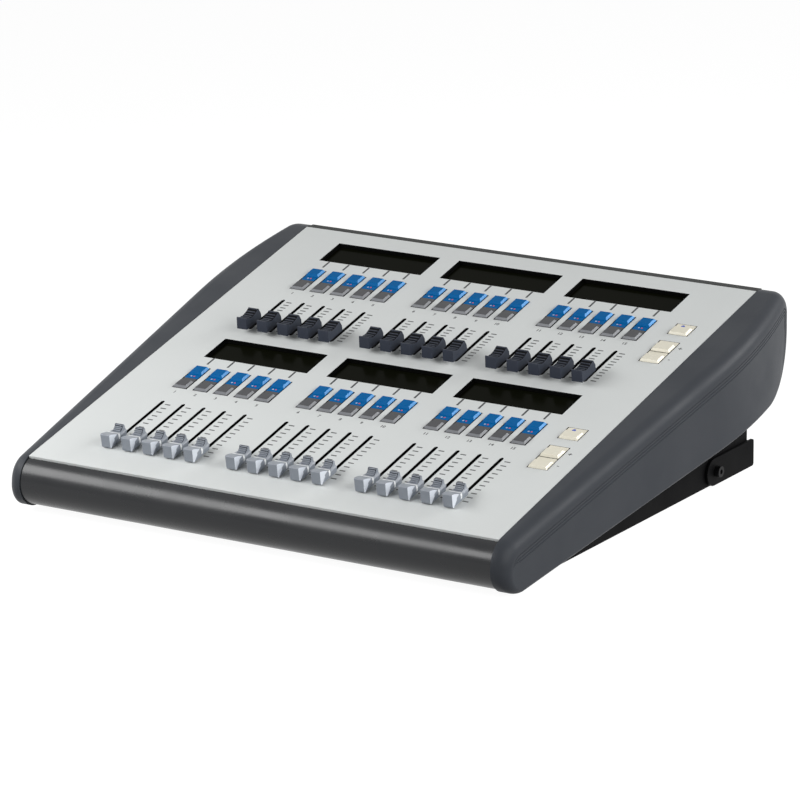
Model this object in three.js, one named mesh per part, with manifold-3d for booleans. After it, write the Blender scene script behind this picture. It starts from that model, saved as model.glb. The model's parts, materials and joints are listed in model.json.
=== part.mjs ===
// Lighting fader wing: a sloping control panel with thirty slide faders, between two moulded cheeks.
// Millimetres. +X runs to the right of the person who plays it, +Y away from them, +Z up.
// The origin lies on the table, under the middle of the box that holds the whole wing.

import * as THREE from 'three';
import { ConvexGeometry } from 'three/addons/geometries/ConvexGeometry.js';
import { mergeVertices } from 'three/addons/utils/BufferGeometryUtils.js';
import Module from 'manifold-3d';

const wasm = await Module();
wasm.setup();

// Fits shared by all pieces.
const seat = 0.3; // air between two pieces that touch
const overrun = 1; // how far a cutting solid runs past what it cuts

// The flat top plate that carries every control. Its width and length come from what it carries.
const panel = { thickness: 2, tiltDegrees: 13.82, leftMargin: 53.5, rightMargin: 25.5, rearMargin: 18.9 };

// Channels stand in banks of five, and an empty channel's width parts one bank from the next.
const channels = { banks: 3, perBank: 5, emptyBetween: 1, pitch: 19 };

// The upper section repeats the lower one's displays and keys this much further back.
const sectionPitch = 171.4;

// Cut-outs of the lower section, with places measured along the panel from its front edge.
const display = { overhang: 10, length: 31.4, front: 178.3 };
const keyHole = { width: 13.8, front: 127.9, greyLength: 16.7, blueLength: 18.3 };
const pageHole = { width: 17.8, length: 17.6, pairFront: 99.6, singleFront: 145.4, pastLastChannel: 33 };
const lowerFader = { travel: 64, restPlace: 39.3, slotSpare: 1 };
const upperFader = { travel: 45, restPlace: 232.6, slotSpare: 1 };
const faderSlot = { width: 2.4 };

// Sheet-metal chassis under the panel, set in from the panel's sides and from its rear edge.
const chassis = { sheet: 1.5, sideSetback: 0.2, front: 15.8, rearSetback: 12.6, flange: 19.8, frontDepth: 43.2 };
const rearFold = { wallTop: 82, hoodBottom: 104, hoodReach: 12.9, lipDrop: 7, lipRun: 4 };

// Palm rest along the front edge, a hollow round-nosed section.
const rail = { radius: 19.8, reach: 12, drop: 19.6, wall: 2.4, lipSetback: 0.4 };

// Moulded cheeks at both ends.
const cheek = {
  frontThickness: 13.1,
  flareThickness: 31.9,
  flareEnd: 274,
  tailRadius: 397,
  noseReach: 12.8,
  noseRadius: 21.2,
  undersideRiseDegrees: 8.75,
  rearReach: 21.5,
  heelRadius: 57.5,
  crownRadius: 18.3,
  shoulderRadius: 11.4,
  noseCornerRadius: 10.8,
  undersideRadius: 3,
  rearCornerRadius: 11,
};

// Rubber feet under the chassis.
const foot = { radius: 9, height: 2.5, inset: 32, frontInset: 28.2, rearInset: 64 };

// Folding stand: two arms on pivot screws, joined behind the chassis by a cross plate.
const stand = { sheet: 2, height: 21.6, length: 75.1, pivotInset: 14.5, cornerRadius: 2 };
const standGap = { side: 0.5, rear: 4.8 };
const pivotScrew = { headRadius: 4.4, headLength: 4, shankRadius: 2.6, socketRadius: 2.1, socketDepth: 2.4 };
const pivotNut = { radius: 5, length: 3 };

// Fader knobs, each moulded on its lever.
const lever = { width: 1.6, length: 5, drop: 8.4 };
const upperKnob = { length: 21.7, width: 11, crownWidth: 9, lift: 2.8, height: 10.2 };
const lowerKnob = { length: 22, width: 11, crownWidth: 8.8, lift: 1.9, height: 8.9 };
const lowerNose = { faceWidth: 8, chamferLength: 3.4, waist: 4.4 };

// Outlines of the knobs from front to rear, as shares of their length and of their height.
const upperKnobShares = [
  [0, 0], [0.08, 1], [0.32, 0.74], [0.54, 0.68], [0.7, 0.73], [0.87, 0.9], [0.965, 0.61], [1, 0.23], [1, 0],
];
const lowerKnobShares = [
  [0.04, 0], [0, 0.3], [0.02, 0.75], [0.08, 0.98], [0.3, 0.84], [0.54, 0.67], [0.7, 0.56], [0.84, 0.7],
  [0.945, 1], [1, 0.33], [0.99, 0],
];

// Where the lever stands along its knob, and how far up the knob's sides stay upright.
const upperLeverShare = 0.5;
const lowerLeverShare = 0.54;
const upperSideShare = 0.2;
const lowerSideShare = 0.6;

// Key caps: a bevelled pad over a lower flat, above a skirt that drops through the panel.
const keyCap = {
  sideGap: 0.5,
  betweenGap: 0.3,
  padHeight: 2,
  flatHeight: 0.2,
  padLength: 11.4,
  bevel: 1.2,
  innerBevel: 1.6,
  skirtDepth: 4.4,
};
const keyTravel = 2;
const keyBar = { width: 6, height: 2.4 };
const pageStem = { width: 6, length: 6 };

// What hangs under the panel: display modules and control boards.
const displayModule = { margin: 2, glassDepth: 3.5, boardThickness: 1.6, boardMargin: 4 };
const board = { depth: 12.2, thickness: 1.6, sideMargin: 13, frontMargin: 6, rearMargin: 4 };
const faderBody = { width: 9, endMargin: 5, grooveWidth: 3, grooveFloor: 1.2 };
const keySwitch = { size: 7 };

// Power supply with its inlet and switch, and the data socket, in the lower wall of the rear panel.
const supply = { width: 96, length: 70, fromSide: 79.8, wallClearance: 5 };
const inlet = { width: 60, height: 28, proud: 1, centreHeight: 54 };
const inletMouth = { width: 24, height: 17, depth: 14.5, shift: -13 };
const inletPin = { width: 2, height: 4, length: 9, spread: 7, centreDrop: 2 };
const switchBay = { width: 20, height: 14, depth: 12, shift: 18 };
const rocker = { gap: 0.6, pivotDepth: 5, sweepDegrees: 22, valleyDepth: 0.8, rootShare: 0.5 };
const dataSocket = { width: 26, height: 31, plate: 2, pastSupply: 80, centreHeight: 54 };
const dataBody = { width: 19, height: 22, backWall: 2 };
const dataMouth = { width: 12, height: 10.5, depth: 13 };

// Into how many flats the round shapes are cut.
const flats = { rail: 14, nose: 12, heel: 7, crown: 6, edge: 5, tail: 4, armEnd: 12, corner: 3 };
const sides = { slotEnd: 10, pivotHole: 20, screw: 18, hexagon: 6, foot: 20 };
const fullTurn = 360;
const halfTurn = fullTurn / 2;
const quarterTurn = fullTurn / 4;

// Values that follow from the sizes above.
const tilt = THREE.MathUtils.degToRad(panel.tiltDegrees);
const chassisFloor = foot.height;
const frontHeight = chassisFloor + chassis.frontDepth;
const bankPitch = (channels.perBank + channels.emptyBetween) * channels.pitch;
const bankWidth = (channels.perBank - 1) * channels.pitch;
const channelsWidth = (channels.banks - 1) * bankPitch + bankWidth;
const displayWidth = bankWidth + 2 * display.overhang;
const panelWidth = panel.leftMargin + channelsWidth + pageHole.pastLastChannel + panel.rightMargin;
const panelLength = display.front + sectionPitch + display.length + panel.rearMargin;
const inner = panelWidth / 2;
const cheekInner = inner + seat;
const pageCentre = inner - panel.rightMargin;
const keyHoleLength = keyHole.greyLength + keyHole.blueLength;
const panelRear = panelLength * Math.cos(tilt);
const cheekRear = panelRear + cheek.rearReach;
const chassisHalf = inner - chassis.sideSetback;
const chassisRear = panelRear - chassis.rearSetback;
const chassisSeam = chassisRear - chassis.flange;
const standRear = chassisRear + standGap.rear + stand.sheet;
const standFront = standRear - stand.length;
const pivotPlace = standFront + stand.pivotInset;
const pivotHeight = chassisFloor + stand.height / 2;
const supplyCentre = supply.fromSide - chassisHalf;
const dataCentre = supplyCentre + dataSocket.pastSupply;

// Height of a level that lies this far under the panel's top surface.
function underPanel(y, depth) {
  return frontHeight + y * Math.tan(tilt) - depth / Math.cos(tilt);
}

// The Y and Z of a point given in the panel's own plane: up its slope, and over its top surface.
function fromDeck(along, over) {
  return [
    along * Math.cos(tilt) - over * Math.sin(tilt),
    frontHeight + along * Math.sin(tilt) + over * Math.cos(tilt),
  ];
}

function channelX(bank, place) {
  return panel.leftMargin - inner + bank * bankPitch + place * channels.pitch;
}

function bankMiddle(bank) {
  return channelX(bank, 0) + bankWidth / 2;
}

function allChannels() {
  const places = [];
  for (let bank = 0; bank < channels.banks; bank += 1) {
    for (let place = 0; place < channels.perBank; place += 1) {
      places.push(channelX(bank, place));
    }
  }
  return places;
}

// Closed solids for joining and cutting.
function solidOf(geometry) {
  const bare = geometry.clone();
  bare.deleteAttribute('normal');
  bare.deleteAttribute('uv');
  const merged = mergeVertices(bare, 1e-4);
  const index = merged.index.array;
  return new wasm.Manifold(new wasm.Mesh({
    numProp: 3,
    vertProperties: new Float32Array(merged.attributes.position.array),
    triVerts: new Uint32Array(index),
  }));
}

function geometryOf(solid) {
  const mesh = solid.getMesh();
  const geometry = new THREE.BufferGeometry();
  geometry.setAttribute('position', new THREE.BufferAttribute(new Float32Array(mesh.vertProperties), 3));
  geometry.setIndex(new THREE.BufferAttribute(new Uint32Array(mesh.triVerts), 1));
  geometry.computeVertexNormals();
  return geometry;
}

function joinAll(solids) {
  return solids.reduce((whole, piece) => whole.add(piece));
}

// A block between two corners.
function block(low, high) {
  const size = high.map((value, axis) => value - low[axis]);
  const geometry = new THREE.BoxGeometry(...size);
  geometry.translate(...low.map((value, axis) => value + size[axis] / 2));
  return solidOf(geometry);
}

// A straight run along X of an outline drawn in Y and Z.
function runAlongX(outline, from, to) {
  const shape = new THREE.Shape(outline.map(([y, z]) => new THREE.Vector2(y, z)));
  const geometry = new THREE.ExtrudeGeometry(shape, { depth: to - from, bevelEnabled: false });
  geometry.applyMatrix4(new THREE.Matrix4().makeBasis(
    new THREE.Vector3(0, 1, 0),
    new THREE.Vector3(0, 0, 1),
    new THREE.Vector3(1, 0, 0),
  ));
  geometry.translate(from, 0, 0);
  return solidOf(geometry);
}

// Points of an arc, with its angles in degrees from +Y towards +Z.
function arcPoints(centreY, centreZ, radius, from, to, steps) {
  const points = [];
  for (let step = 0; step <= steps; step += 1) {
    const angle = THREE.MathUtils.degToRad(from + (to - from) * step / steps);
    points.push([centreY + radius * Math.cos(angle), centreZ + radius * Math.sin(angle)]);
  }
  return points;
}

function finish(name, geometry, color, roughness, metalness) {
  const mesh = new THREE.Mesh(geometry, new THREE.MeshStandardMaterial({ color, roughness, metalness }));
  mesh.name = name;
  return mesh;
}

// The wing stands on its feet, and the deck group lies in the panel's plane: its X is the wing's X,
// its Y runs up the slope from the panel's front edge, and its Z is square to the panel.
const wing = new THREE.Group();
wing.position.y = -(cheekRear - cheek.noseReach) / 2;
const deck = new THREE.Group();
deck.position.z = frontHeight;
deck.rotation.x = tilt;
wing.add(deck);

// A block that cuts a rectangular hole through the panel, from the hole's low corner and its size.
function panelHole(x, y, width, length) {
  return block([x, y, -panel.thickness - overrun], [x + width, y + length, overrun]);
}

function slotLength(fader) {
  return fader.travel + lever.length + 2 * fader.slotSpare;
}

function slotFront(fader) {
  return fader.restPlace - lever.length / 2 - fader.slotSpare;
}

// Page keys stand alone at the back of a section, and as a pair nearer the front.
function pageKeyFronts() {
  return [pageHole.singleFront, pageHole.pairFront + pageHole.length, pageHole.pairFront];
}

// A slot with round ends, where a fader's lever comes up through the panel.
function faderSlotCut(x, fader) {
  const radius = faderSlot.width / 2;
  const front = slotFront(fader);
  const rear = front + slotLength(fader);
  const height = 2 * (panel.thickness + overrun);
  const straight = panelHole(x - radius, front + radius, faderSlot.width, rear - front - faderSlot.width);
  const ends = [front + radius, rear - radius].map((y) => {
    const end = new THREE.CylinderGeometry(radius, radius, height, sides.slotEnd);
    end.rotateX(Math.PI / 2);
    end.translate(x, y, 0);
    return solidOf(end);
  });
  return joinAll([straight, ...ends]);
}

function panelHoles() {
  const holes = [];
  for (const shift of [0, sectionPitch]) {
    for (let bank = 0; bank < channels.banks; bank += 1) {
      const left = bankMiddle(bank) - displayWidth / 2;
      holes.push(panelHole(left, display.front + shift, displayWidth, display.length));
    }
    for (const x of allChannels()) {
      holes.push(panelHole(x - keyHole.width / 2, keyHole.front + shift, keyHole.width, keyHoleLength));
    }
    const pageLeft = pageCentre - pageHole.width / 2;
    const [single, , pair] = pageKeyFronts();
    holes.push(panelHole(pageLeft, single + shift, pageHole.width, pageHole.length));
    holes.push(panelHole(pageLeft, pair + shift, pageHole.width, 2 * pageHole.length));
  }
  for (const fader of [lowerFader, upperFader]) {
    for (const x of allChannels()) {
      holes.push(faderSlotCut(x, fader));
    }
  }
  return holes;
}

function topPanel() {
  const plate = block([-inner, 0, -panel.thickness], [inner, panelLength, 0]);
  return finish('top_panel', geometryOf(plate.subtract(joinAll(panelHoles()))), 0xcdd1d0, 0.5, 0.1);
}

// The side view of a cheek, as points with the direction that the surface faces there.
function cheekOutline() {
  const top = quarterTurn + panel.tiltDegrees;
  const under = fullTurn - quarterTurn + cheek.undersideRiseDegrees;
  const rise = THREE.MathUtils.degToRad(cheek.undersideRiseDegrees);
  const noseY = cheek.noseRadius - cheek.noseReach;
  const noseZ = underPanel(noseY, cheek.noseRadius);
  const heelY = cheekRear - cheek.heelRadius;
  const heelRise = (heelY - noseY) * Math.sin(rise) + cheek.heelRadius - cheek.noseRadius;
  const heelZ = noseZ + heelRise / Math.cos(rise);
  const crownY = cheekRear - cheek.crownRadius;
  const crownZ = underPanel(crownY, cheek.crownRadius);

  const outline = [];
  function addArc(y, z, radius, from, to, steps) {
    arcPoints(y, z, radius, from, to, steps).forEach(([py, pz], step) => {
      outline.push({ y: py, z: pz, facing: from + (to - from) * step / steps });
    });
  }
  function addLine(to, stations) {
    const from = outline[outline.length - 1];
    for (const y of stations) {
      const share = (y - from.y) / (to[0] - from.y);
      outline.push({ y, z: from.z + (to[1] - from.z) * share, facing: from.facing });
    }
  }
  addArc(noseY, noseZ, cheek.noseRadius, top, under, flats.nose);
  const heelStart = arcPoints(heelY, heelZ, cheek.heelRadius, under, under, 1)[0];
  addLine(heelStart, tailStations(heelStart[0]));
  addArc(heelY, heelZ, cheek.heelRadius, under, fullTurn, flats.heel);
  addArc(crownY, crownZ, cheek.crownRadius, fullTurn, fullTurn + top, flats.crown);
  const noseTop = arcPoints(noseY, noseZ, cheek.noseRadius, top, top, 1)[0];
  const crownEnd = outline[outline.length - 1];
  addLine(noseTop, tailStations(crownEnd.y).reverse());
  return outline;
}

// Places along a cheek where its plan starts to bend and goes on bending.
function tailStations(end) {
  const stations = [];
  for (let step = 0; step < flats.tail; step += 1) {
    stations.push(cheek.flareEnd + (end - cheek.flareEnd) * step / flats.tail);
  }
  return stations;
}

// How far out the cheek's side stands: it flares from the nose, then bends in along the tail.
function cheekOuter(y) {
  const flare = (cheek.flareThickness - cheek.frontThickness) / cheek.flareEnd;
  const past = Math.max(0, y - cheek.flareEnd);
  return cheekInner + cheek.frontThickness + flare * y - past * past / (2 * cheek.tailRadius);
}

// Radius of the edge between the rim and the outer side, by the direction that the rim faces.
function cheekEdge(facing) {
  const top = quarterTurn + panel.tiltDegrees;
  const under = fullTurn - quarterTurn + cheek.undersideRiseDegrees;
  const stops = [
    [top, cheek.shoulderRadius],
    [halfTurn, cheek.noseCornerRadius],
    [under, cheek.undersideRadius],
    [fullTurn, cheek.rearCornerRadius],
    [fullTurn + top, cheek.shoulderRadius],
  ];
  const next = stops.findIndex(([angle]) => angle >= facing - 1e-6);
  if (next <= 0) {
    return stops[0][1];
  }
  const [fromAngle, fromRadius] = stops[next - 1];
  const [toAngle, toRadius] = stops[next];
  return fromRadius + (toRadius - fromRadius) * (facing - fromAngle) / (toAngle - fromAngle);
}

// The cheek is a skin over rings that step in round the edge, closed by its two sides.
function cheekGeometry(side) {
  const outline = cheekOutline();
  const rings = [outline.map(({ y, z }) => [cheekInner, y, z])];
  for (let turn = 0; turn <= flats.edge; turn += 1) {
    const angle = Math.PI / 2 * turn / flats.edge;
    rings.push(outline.map(({ y, z, facing }) => {
      const radius = cheekEdge(facing);
      const inset = radius * (1 - Math.cos(angle));
      const facingAngle = THREE.MathUtils.degToRad(facing);
      const py = y - inset * Math.cos(facingAngle);
      const pz = z - inset * Math.sin(facingAngle);
      return [cheekOuter(py) - radius * (1 - Math.sin(angle)), py, pz];
    }));
  }
  const count = outline.length;
  const positions = rings.flat().map(([x, y, z]) => [side * x, y, z]).flat();
  const triangles = [];
  function addTriangle(a, b, c) {
    triangles.push(...(side > 0 ? [a, b, c] : [a, c, b]));
  }
  for (let ring = 0; ring + 1 < rings.length; ring += 1) {
    for (let step = 0; step < count; step += 1) {
      const a = ring * count + step;
      const b = ring * count + (step + 1) % count;
      addTriangle(a, b, a + count);
      addTriangle(b, b + count, a + count);
    }
  }
  const lastRing = (rings.length - 1) * count;
  for (const [a, b, c] of bridgeSide(outline)) {
    addTriangle(a, c, b);
    addTriangle(lastRing + a, lastRing + b, lastRing + c);
  }
  const geometry = new THREE.BufferGeometry();
  geometry.setAttribute('position', new THREE.Float32BufferAttribute(positions, 3));
  geometry.setIndex(triangles);
  geometry.computeVertexNormals();
  return geometry;
}

// Triangles between the upper and the lower edge of a side, from its front to its rear.
function bridgeSide(outline) {
  const count = outline.length;
  const ys = outline.map(({ y }) => y);
  const front = ys.indexOf(Math.min(...ys));
  const rear = ys.indexOf(Math.max(...ys));
  const triangles = [];
  let low = front;
  let high = front;
  while (low !== rear || high !== rear) {
    const nextLow = (low + 1) % count;
    const nextHigh = (high - 1 + count) % count;
    const stepLow = high === rear || (low !== rear && ys[nextLow] <= ys[nextHigh]);
    if (stepLow) {
      if (nextLow !== high) {
        triangles.push([low, nextLow, high]);
      }
      low = nextLow;
    } else {
      if (nextHigh !== low) {
        triangles.push([low, nextHigh, high]);
      }
      high = nextHigh;
    }
  }
  return triangles;
}

function frontRail() {
  const centreY = rail.radius - rail.reach;
  const centreZ = frontHeight - rail.drop;
  const back = chassis.front - seat;
  const lipY = -rail.lipSetback;
  const from = quarterTurn + THREE.MathUtils.radToDeg(Math.asin((centreY - lipY) / rail.radius));
  const to = fullTurn - quarterTurn;
  const underLip = panel.thickness + seat;
  const outer = arcPoints(centreY, centreZ, rail.radius, from, to, flats.rail);
  outer.push([back, centreZ - rail.radius]);
  outer.push([back, underPanel(back, underLip)]);
  outer.push(fromDeck(-seat, -underLip));
  const hollow = arcPoints(centreY, centreZ, rail.radius - rail.wall, from, to, flats.rail);
  hollow.push([back - rail.wall, centreZ - rail.radius + rail.wall]);
  hollow.push([back - rail.wall, underPanel(back - rail.wall, underLip + rail.wall)]);
  hollow.push([rail.wall, underPanel(rail.wall, underLip + rail.wall)]);
  const solid = runAlongX(outer, -inner, inner)
    .subtract(runAlongX(hollow, -inner - overrun, inner + overrun));
  return finish('front_rail', geometryOf(solid), 0x4a4d51, 0.45, 0.2);
}

// A hole through both sides of the chassis or of the stand, on the stand's pivot line.
function pivotHole(radius, halfLength) {
  const geometry = new THREE.CylinderGeometry(radius, radius, 2 * halfLength, sides.pivotHole);
  geometry.rotateZ(Math.PI / 2);
  geometry.translate(0, pivotPlace, pivotHeight);
  return solidOf(geometry);
}

function chassisTray() {
  const roof = panel.thickness + seat;
  const outline = [
    [chassis.front, chassisFloor],
    [chassisSeam, chassisFloor],
    [chassisSeam, underPanel(chassisSeam, roof)],
    [chassis.front, underPanel(chassis.front, roof)],
  ];
  const innerFront = chassis.front + chassis.sheet;
  const innerFloor = chassisFloor + chassis.sheet;
  const pastSeam = chassisSeam + overrun;
  const hollow = [
    [innerFront, innerFloor],
    [pastSeam, innerFloor],
    [pastSeam, underPanel(pastSeam, 0)],
    [innerFront, underPanel(innerFront, 0)],
  ];
  const innerHalf = chassisHalf - chassis.sheet;
  const tray = runAlongX(outline, -chassisHalf, chassisHalf)
    .subtract(runAlongX(hollow, -innerHalf, innerHalf))
    .subtract(pivotHole(pivotScrew.shankRadius + seat, chassisHalf + overrun));
  return finish('chassis_tray', geometryOf(tray), 0x1d1d1f, 0.6, 0.3);
}

// The strip between a line of fold points and the same line moved in by the sheet's thickness.
function foldedSheet(path, thickness) {
  const shifted = path.map((point, place) => {
    const before = path[Math.max(0, place - 1)];
    const after = path[Math.min(path.length - 1, place + 1)];
    const normals = [];
    for (const [from, to] of [[before, point], [point, after]]) {
      const run = Math.hypot(to[0] - from[0], to[1] - from[1]);
      if (run > 0) {
        normals.push([-(to[1] - from[1]) / run, (to[0] - from[0]) / run]);
      }
    }
    const first = normals[0];
    const last = normals[normals.length - 1];
    const mitre = 1 + first[0] * last[0] + first[1] * last[1];
    return [
      point[0] + thickness * (first[0] + last[0]) / mitre,
      point[1] + thickness * (first[1] + last[1]) / mitre,
    ];
  });
  return [...path, ...shifted.reverse()];
}

function rearPanel() {
  const start = chassisSeam + seat;
  const rearEdge = fromDeck(panelLength, -panel.thickness)[0] + seat;
  const hoodRear = panelRear + rearFold.hoodReach;
  const lipZ = underPanel(rearEdge, panel.thickness * (1 - Math.cos(tilt)));
  const path = [
    [start, chassisFloor],
    [chassisRear, chassisFloor],
    [chassisRear, rearFold.wallTop],
    [hoodRear, rearFold.hoodBottom],
    [hoodRear, lipZ - rearFold.lipDrop],
    [hoodRear - rearFold.lipRun, lipZ],
    [rearEdge, lipZ],
  ];
  const skin = runAlongX(foldedSheet(path, chassis.sheet), -chassisHalf, chassisHalf);
  const roof = panel.thickness + seat;
  const flange = [
    [start, chassisFloor],
    [chassisRear, chassisFloor],
    [chassisRear, underPanel(chassisRear, roof)],
    [start, underPanel(start, roof)],
  ];
  const left = runAlongX(flange, -chassisHalf, -chassisHalf + chassis.sheet);
  const right = runAlongX(flange, chassisHalf - chassis.sheet, chassisHalf);
  const inletHole = wallHole(
    supplyCentre,
    inlet.centreHeight,
    inlet.width + 2 * seat,
    inlet.height + 2 * seat,
  );
  const dataHole = wallHole(
    dataCentre,
    dataSocket.centreHeight,
    dataBody.width + 2 * seat,
    dataBody.height + 2 * seat,
  );
  const solid = joinAll([skin, left, right]).subtract(inletHole).subtract(dataHole);
  return finish('rear_panel', geometryOf(solid), 0x232326, 0.55, 0.3);
}

// A block that cuts a rectangular hole in the lower rear wall.
function wallHole(centreX, centreZ, width, height) {
  const outside = chassisRear + overrun;
  const inside = chassisRear - chassis.sheet - overrun;
  return block(
    [centreX - width / 2, inside, centreZ - height / 2],
    [centreX + width / 2, outside, centreZ + height / 2],
  );
}

function tiltStand() {
  const low = chassisFloor;
  const high = chassisFloor + stand.height;
  const corner = stand.cornerRadius;
  const downwards = fullTurn - quarterTurn;
  const armRadius = stand.height / 2;
  const arm = [
    ...arcPoints(standFront + armRadius, pivotHeight, armRadius, quarterTurn, downwards, flats.armEnd),
    ...arcPoints(standRear - corner, low + corner, corner, downwards, fullTurn, flats.corner),
    ...arcPoints(standRear - corner, high - corner, corner, 0, quarterTurn, flats.corner),
  ];
  const innerX = chassisHalf + standGap.side;
  const outerX = innerX + stand.sheet;
  const left = runAlongX(arm, -outerX, -innerX);
  const right = runAlongX(arm, innerX, outerX);
  const plate = block(
    [-innerX - stand.sheet / 2, standRear - stand.sheet, low + corner],
    [innerX + stand.sheet / 2, standRear, high - corner],
  );
  const solid = joinAll([left, right, plate])
    .subtract(pivotHole(pivotScrew.shankRadius + seat, outerX + overrun));
  return finish('tilt_stand', geometryOf(solid), 0x19191b, 0.55, 0.3);
}

// A socket-head screw through an arm and the chassis side, with its nut inside the chassis.
function pivotScrewMesh(side) {
  const nutOuter = chassisHalf - chassis.sheet - seat;
  const headInner = chassisHalf + standGap.side + stand.sheet + seat;
  const headOuter = headInner + pivotScrew.headLength;
  const profile = [
    [0, nutOuter - pivotNut.length],
    [pivotNut.radius, nutOuter - pivotNut.length],
    [pivotNut.radius, nutOuter],
    [pivotScrew.shankRadius, nutOuter],
    [pivotScrew.shankRadius, headInner],
    [pivotScrew.headRadius, headInner],
    [pivotScrew.headRadius, headOuter],
    [0, headOuter],
  ].map(([radius, along]) => new THREE.Vector2(radius, along));
  const turned = new THREE.LatheGeometry(profile, sides.screw);
  const socket = new THREE.CylinderGeometry(
    pivotScrew.socketRadius,
    pivotScrew.socketRadius,
    2 * pivotScrew.socketDepth,
    sides.hexagon,
  );
  socket.translate(0, headOuter, 0);
  const geometry = geometryOf(solidOf(turned).subtract(solidOf(socket)));
  geometry.rotateZ(-side * Math.PI / 2);
  geometry.translate(0, pivotPlace, pivotHeight);
  return finish(side < 0 ? 'pivot_screw_left' : 'pivot_screw_right', geometry, 0x151517, 0.35, 0.8);
}

function footMesh(name, x, y) {
  const geometry = new THREE.CylinderGeometry(foot.radius, foot.radius, foot.height - seat, sides.foot);
  geometry.rotateX(Math.PI / 2);
  geometry.translate(x, y, (foot.height - seat) / 2);
  return finish(name, geometry, 0x141414, 0.9, 0);
}

// The lever that carries a knob down through its slot.
function leverSolid(knob) {
  return block(
    [-lever.width / 2, -lever.length / 2, -lever.drop],
    [lever.width / 2, lever.length / 2, knob.lift + knob.height / 2],
  );
}

// A knob is the run of its side view, trimmed to sides that lean in towards the crown.
function knobSolid(knob, shares, leverShare, sideShare, plan) {
  const outline = shares.map(([along, up]) => [
    (along - leverShare) * knob.length,
    knob.lift + up * knob.height,
  ]);
  const half = knob.width / 2;
  const crownHalf = knob.crownWidth / 2;
  const breakHeight = knob.lift + sideShare * knob.height;
  const top = knob.lift + knob.height + overrun;
  const topHalf = half - (half - crownHalf) * (top - breakHeight) / (knob.lift + knob.height - breakHeight);
  const section = [
    [-half, knob.lift - overrun],
    [half, knob.lift - overrun],
    [half, breakHeight],
    [topHalf, top],
    [-topHalf, top],
    [-half, breakHeight],
  ];
  const shape = new THREE.Shape(section.map(([x, z]) => new THREE.Vector2(x, z)));
  const depth = 2 * knob.length;
  const trim = new THREE.ExtrudeGeometry(shape, { depth, bevelEnabled: false });
  trim.rotateX(Math.PI / 2);
  trim.translate(0, knob.length, 0);
  let solid = runAlongX(outline.reverse(), -half, half).intersect(solidOf(trim));
  if (plan) {
    solid = solid.intersect(plan);
  }
  return solid;
}

// Seen from above, the nose of a lower knob is cut off at its corners, and its hump is narrower.
function lowerKnobPlan() {
  const front = -lowerLeverShare * lowerKnob.length;
  const rear = front + lowerKnob.length;
  const face = lowerNose.faceWidth / 2;
  const half = lowerKnob.width / 2;
  const waist = lowerNose.waist - (half - lowerKnob.crownWidth / 2);
  const humpHalf = lowerKnob.crownWidth / 2;
  const points = [
    [face, front],
    [half, front + lowerNose.chamferLength],
    [half, waist],
    [humpHalf, waist + (half - humpHalf)],
    [half, rear],
  ];
  const mirrored = points.map(([x, y]) => [-x, y]).reverse();
  const shape = new THREE.Shape([...points, ...mirrored].map(([x, y]) => new THREE.Vector2(x, y)));
  const depth = lowerKnob.lift + lowerKnob.height + overrun;
  return solidOf(new THREE.ExtrudeGeometry(shape, { depth, bevelEnabled: false }));
}

function faderMeshes(label, fader, geometry, color) {
  return allChannels().map((x, place) => {
    const name = `${label}_fader_${String(place + 1).padStart(2, '0')}`;
    const mesh = finish(name, geometry, color, 0.45, 0);
    mesh.position.set(x, fader.restPlace, 0);
    return mesh;
  });
}

// A solid with a rectangle below and a smaller rectangle above.
function bevelledPad(low, high, bevels) {
  const [front, rear, side] = bevels;
  const corners = [];
  for (const x of [0, 1]) {
    for (const y of [0, 1]) {
      corners.push(new THREE.Vector3(x ? high[0] : low[0], y ? high[1] : low[1], low[2]));
      corners.push(new THREE.Vector3(
        x ? high[0] - side : low[0] + side,
        y ? high[1] - rear : low[1] + front,
        high[2],
      ));
    }
  }
  return solidOf(new ConvexGeometry(corners));
}

// One key cap. padAtRear says at which end of its hole the raised pad lies.
function keyCapSolid(x, front, width, length, padAtRear) {
  const half = width / 2 - keyCap.sideGap;
  const endGap = keyCap.sideGap;
  const meet = keyCap.betweenGap / 2;
  const from = front + (padAtRear ? meet : endGap);
  const to = front + length - (padAtRear ? endGap : meet);
  const base = block([x - half, from, -keyCap.skirtDepth], [x + half, to, keyCap.flatHeight]);
  const padFrom = padAtRear ? to - keyCap.padLength : from;
  const padTo = padAtRear ? to : from + keyCap.padLength;
  const bevels = padAtRear
    ? [keyCap.innerBevel, keyCap.bevel, keyCap.bevel]
    : [keyCap.bevel, keyCap.innerBevel, keyCap.bevel];
  const pad = bevelledPad([x - half, padFrom, 0], [x + half, padTo, keyCap.padHeight], bevels);
  return base.add(pad);
}

// Fifteen caps of one colour and the bar under the panel that carries them.
function keyRow(name, front, length, padAtRear, color) {
  const xs = allChannels();
  const caps = xs.map((x) => keyCapSolid(x, front, keyHole.width, length, padAtRear));
  const middle = front + length / 2;
  const half = keyHole.width / 2 - keyCap.sideGap;
  const bar = block(
    [xs[0] - half, middle - keyBar.width / 2, -keyCap.skirtDepth - keyBar.height / 2],
    [xs[xs.length - 1] + half, middle + keyBar.width / 2, -keyCap.skirtDepth + keyBar.height / 2],
  );
  return finish(name, geometryOf(joinAll([...caps, bar])), color, 0.35, 0);
}

function pageKey(name, front) {
  const cap = keyCapSolid(pageCentre, front, pageHole.width, pageHole.length, false);
  const middle = front + pageHole.length / 2;
  const half = pageStem.width / 2;
  const stemFoot = -keyCap.skirtDepth - keyBar.height / 2;
  const stem = block(
    [pageCentre - half, middle - pageStem.length / 2, stemFoot],
    [pageCentre + half, middle + pageStem.length / 2, 0],
  );
  return finish(name, geometryOf(cap.add(stem)), 0xe8e2d0, 0.3, 0);
}

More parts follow.
